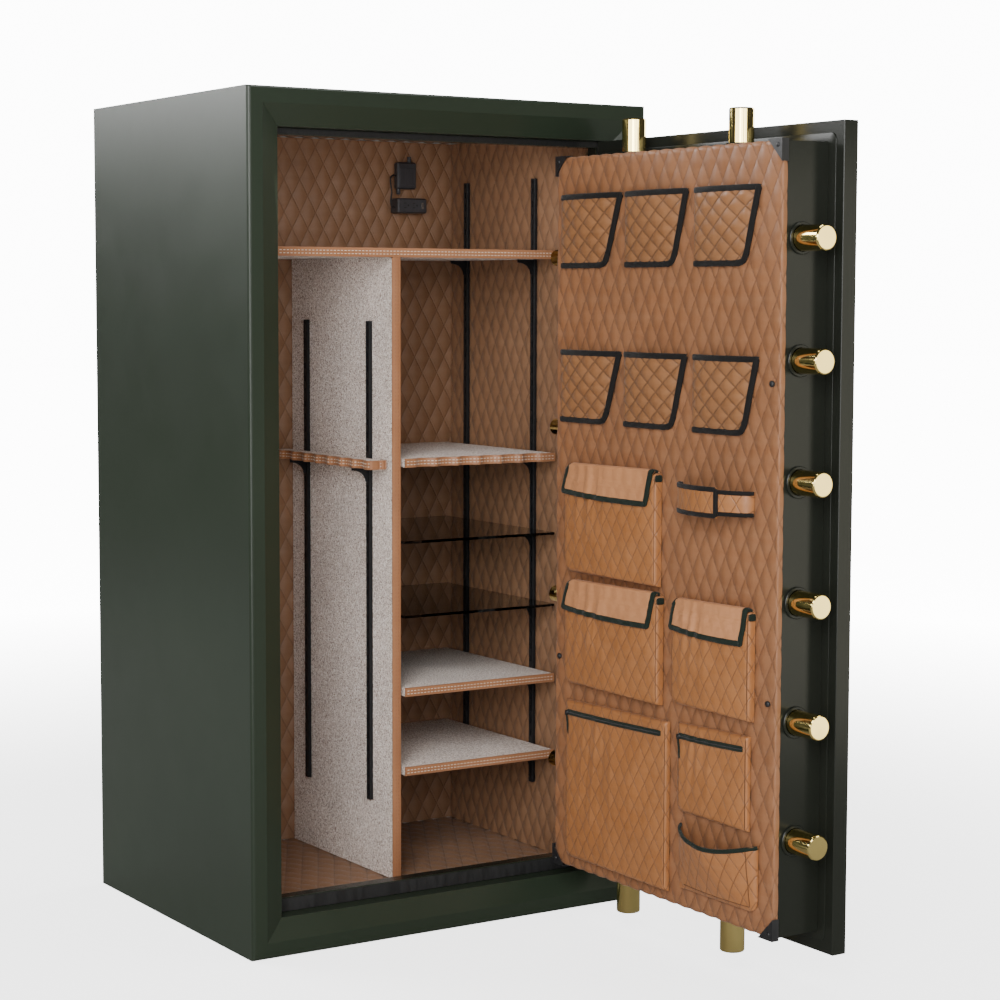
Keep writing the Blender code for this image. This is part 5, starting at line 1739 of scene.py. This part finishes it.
def rivet(parts, a, z, radius, base):
    """A domed head on the panel."""
    x = FACE_X - base
    y = HINGE_EDGE_Y - a
    stations = [(x + 0.004, radius * 0.9), (x - 0.0002, radius)]
    for k in range(1, 5):
        angle = math.pi / 2 * k / 4.4
        stations.append((x - 0.0002 - radius * 0.45 * math.sin(angle), radius * math.cos(angle)))
    parts.lathe((0, y, z), stations, "x", 28)


def dial_marks():
    """White marks and numbers round the dial's sloping face, and flutes round its knob."""
    low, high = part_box("combination_dial")
    y0, z0 = (low.y + high.y) / 2, (low.z + high.z) / 2
    marks = Parts()

    def at(radius, side, angle, lift):
        """A point on the dial's face: out from its middle, aside, round from the top, above the paint."""
        x = high.x - DIAL_RIM_BACK + (DIAL_RIM - math.hypot(side, radius)) * DIAL_SLOPE + lift
        y = y0 + side * math.cos(angle) + radius * math.sin(angle)
        return (x, y, z0 - side * math.sin(angle) + radius * math.cos(angle))

    for k in range(DIAL_MARKS):
        angle = 2 * math.pi * k / DIAL_MARKS
        inner, rim = DIAL_RIM - (0.0050 if k % 5 == 0 else 0.0030), DIAL_RIM - 0.0006
        tick = ((inner, -0.0003), (inner, 0.0003), (rim, 0.0003), (rim, -0.0003))
        corners = [at(radius, side, angle, lift) for lift in (-0.0001, 0.0002) for radius, side in tick]
        faces = [(3, 2, 1, 0), (4, 5, 6, 7), (0, 1, 5, 4), (1, 2, 6, 5), (2, 3, 7, 6), (3, 0, 4, 7)]
        marks.add(corners, faces)
    for number in range(0, 100, 10):
        text = bpy.data.curves.new("number", "FONT")
        text.body = str(number)
        text.size = 0.0062
        text.align_x = "CENTER"
        holder = bpy.data.objects.new("number", text)
        flat = holder.to_mesh()
        angle = 2 * math.pi * number / 100
        points = [at(DIAL_NUMBERS + v.co.y, v.co.x, angle, 0.0002) for v in flat.vertices]
        marks.add(points, [tuple(f.vertices) for f in flat.polygons])
        holder.to_mesh_clear()
        bpy.data.objects.remove(holder)
    piece("dial_numbers", marks.vertices, marks.faces, "dial_white", "dial", marks.cloth)
    knob = Parts()
    rings = []
    for back, radius in ((0.0255, 0.0186), (0.0240, 0.0200), (0.0050, 0.0194), (0.0030, 0.0170)):
        ring = []
        for angle in turns(ROUND * 3):
            flute = 1 - 0.045 * max(0.0, math.sin(angle * DIAL_FLUTES)) ** 0.6
            out = radius * flute
            ring.append((high.x - back, y0 + out * math.cos(angle), z0 + out * math.sin(angle)))
        rings.append(ring)
    knob.loft(rings)
    knob.make("dial_knob", "plastic", "dial", "black_steel", 35.0)


# ------------------------------------------------------------------ stage


def studio():
    """A pale floor that runs out into a white backdrop, and soft boxes."""
    mesh = bpy.data.meshes.new("floor")
    size = 30.0
    corners = [(-size, -size, 0), (size, -size, 0), (size, size, 0), (-size, size, 0)]
    mesh.from_pydata(corners, [], [(0, 1, 2, 3)])
    made = bpy.data.objects.new("floor", mesh)
    bpy.context.scene.collection.objects.link(made)
    pale = Shader("pale_floor", (0.8, 0.8, 0.8), 0.9, Emission_Color=(1.0, 1.0, 1.0, 1.0))
    pale.set("Specular IOR Level", 0.1)
    away = pale.node("ShaderNodeVectorMath", operation="LENGTH")
    pale.link(pale.place, away.inputs[0])
    share = pale.span(away.outputs["Value"], FLOOR_NEAR, FLOOR_FAR, 0.0, 1.0)
    glow = pale.maths("ADD", pale.maths("MULTIPLY", pale.maths("POWER", share, 1.5), BACKDROP), FLOOR_GLOW)
    seen = pale.node("ShaderNodeLightPath").outputs["Is Camera Ray"]
    pale.feed("Emission Strength", pale.maths("MULTIPLY", glow, seen))
    mirrored = pale.node("ShaderNodeLightPath").outputs["Is Glossy Ray"]
    pale.feed("Base Color", pale.ramp(mirrored, (0.0, 0.80), (1.0, 0.22)))
    mesh.materials.append(pale.material)
    world = bpy.data.worlds.new("backdrop")
    bpy.context.scene.world = world
    world.use_nodes = True
    tree = world.node_tree
    path = tree.nodes.new("ShaderNodeLightPath")
    strength = None
    for ray, value in (("Is Glossy Ray", WORLD_GLOSS), ("Is Camera Ray", BACKDROP + FLOOR_GLOW)):
        pick = tree.nodes.new("ShaderNodeMapRange")
        pick.inputs["To Min"].default_value = WORLD_LIGHT
        pick.inputs["To Max"].default_value = value
        tree.links.new(path.outputs[ray], pick.inputs["Value"])
        if strength:
            tree.links.new(strength, pick.inputs["To Min"])
        strength = pick.outputs["Result"]
    tree.links.new(strength, tree.nodes["Background"].inputs["Strength"])
    tree.nodes["Background"].inputs["Color"].default_value = (1.0, 1.0, 1.0, 1.0)
    for name, place, target, wide, tall, power, diffuse in SOFT_BOXES:
        soft_box(name, place, target, wide, tall, power, diffuse)
    bpy.data.lights["bolt_glint"].color = GLINT_COLOUR


def soft_box(name, place, target, wide, tall, power, diffuse):
    """A rectangular lamp that faces its target and is hidden from the camera."""
    data = bpy.data.lights.new(name, "AREA")
    data.shape = "RECTANGLE"
    data.size = wide
    data.size_y = tall
    data.energy = power
    made = bpy.data.objects.new(name, data)
    bpy.context.scene.collection.objects.link(made)
    made.location = place
    made.rotation_euler = (Vector(target) - Vector(place)).to_track_quat("-Z", "Y").to_euler()
    made.visible_camera = False
    made.visible_diffuse = diffuse


def camera():
    """The camera that lines up with the photo."""
    data = bpy.data.cameras.new("camera")
    data.sensor_width = SENSOR
    data.lens = CAMERA_LENS
    made = bpy.data.objects.new("camera", data)
    bpy.context.scene.collection.objects.link(made)
    heading, tilt, roll = (math.radians(v) for v in (CAMERA_HEADING, CAMERA_TILT, CAMERA_ROLL))
    level = math.cos(tilt)
    forward = Vector((math.sin(heading) * level, math.cos(heading) * level, -math.sin(tilt)))
    right = Vector((math.cos(heading), -math.sin(heading), 0.0))
    up = right.cross(forward)
    rolled_right = right * math.cos(roll) + up * math.sin(roll)
    rolled_up = up * math.cos(roll) - right * math.sin(roll)
    turn = Matrix((rolled_right, rolled_up, -forward)).transposed().to_4x4()
    made.matrix_world = Matrix.Translation(CAMERA_PLACE) @ turn
    bpy.context.scene.camera = made


camera()
jumper_cord()
power_kit()
steelwork()
slab_step()
bolt_groups()
linings()
door_panel()
pockets()
shelves()
divider()
uprights()
glass_shelves()
push_rivets()
dial_marks()
studio()
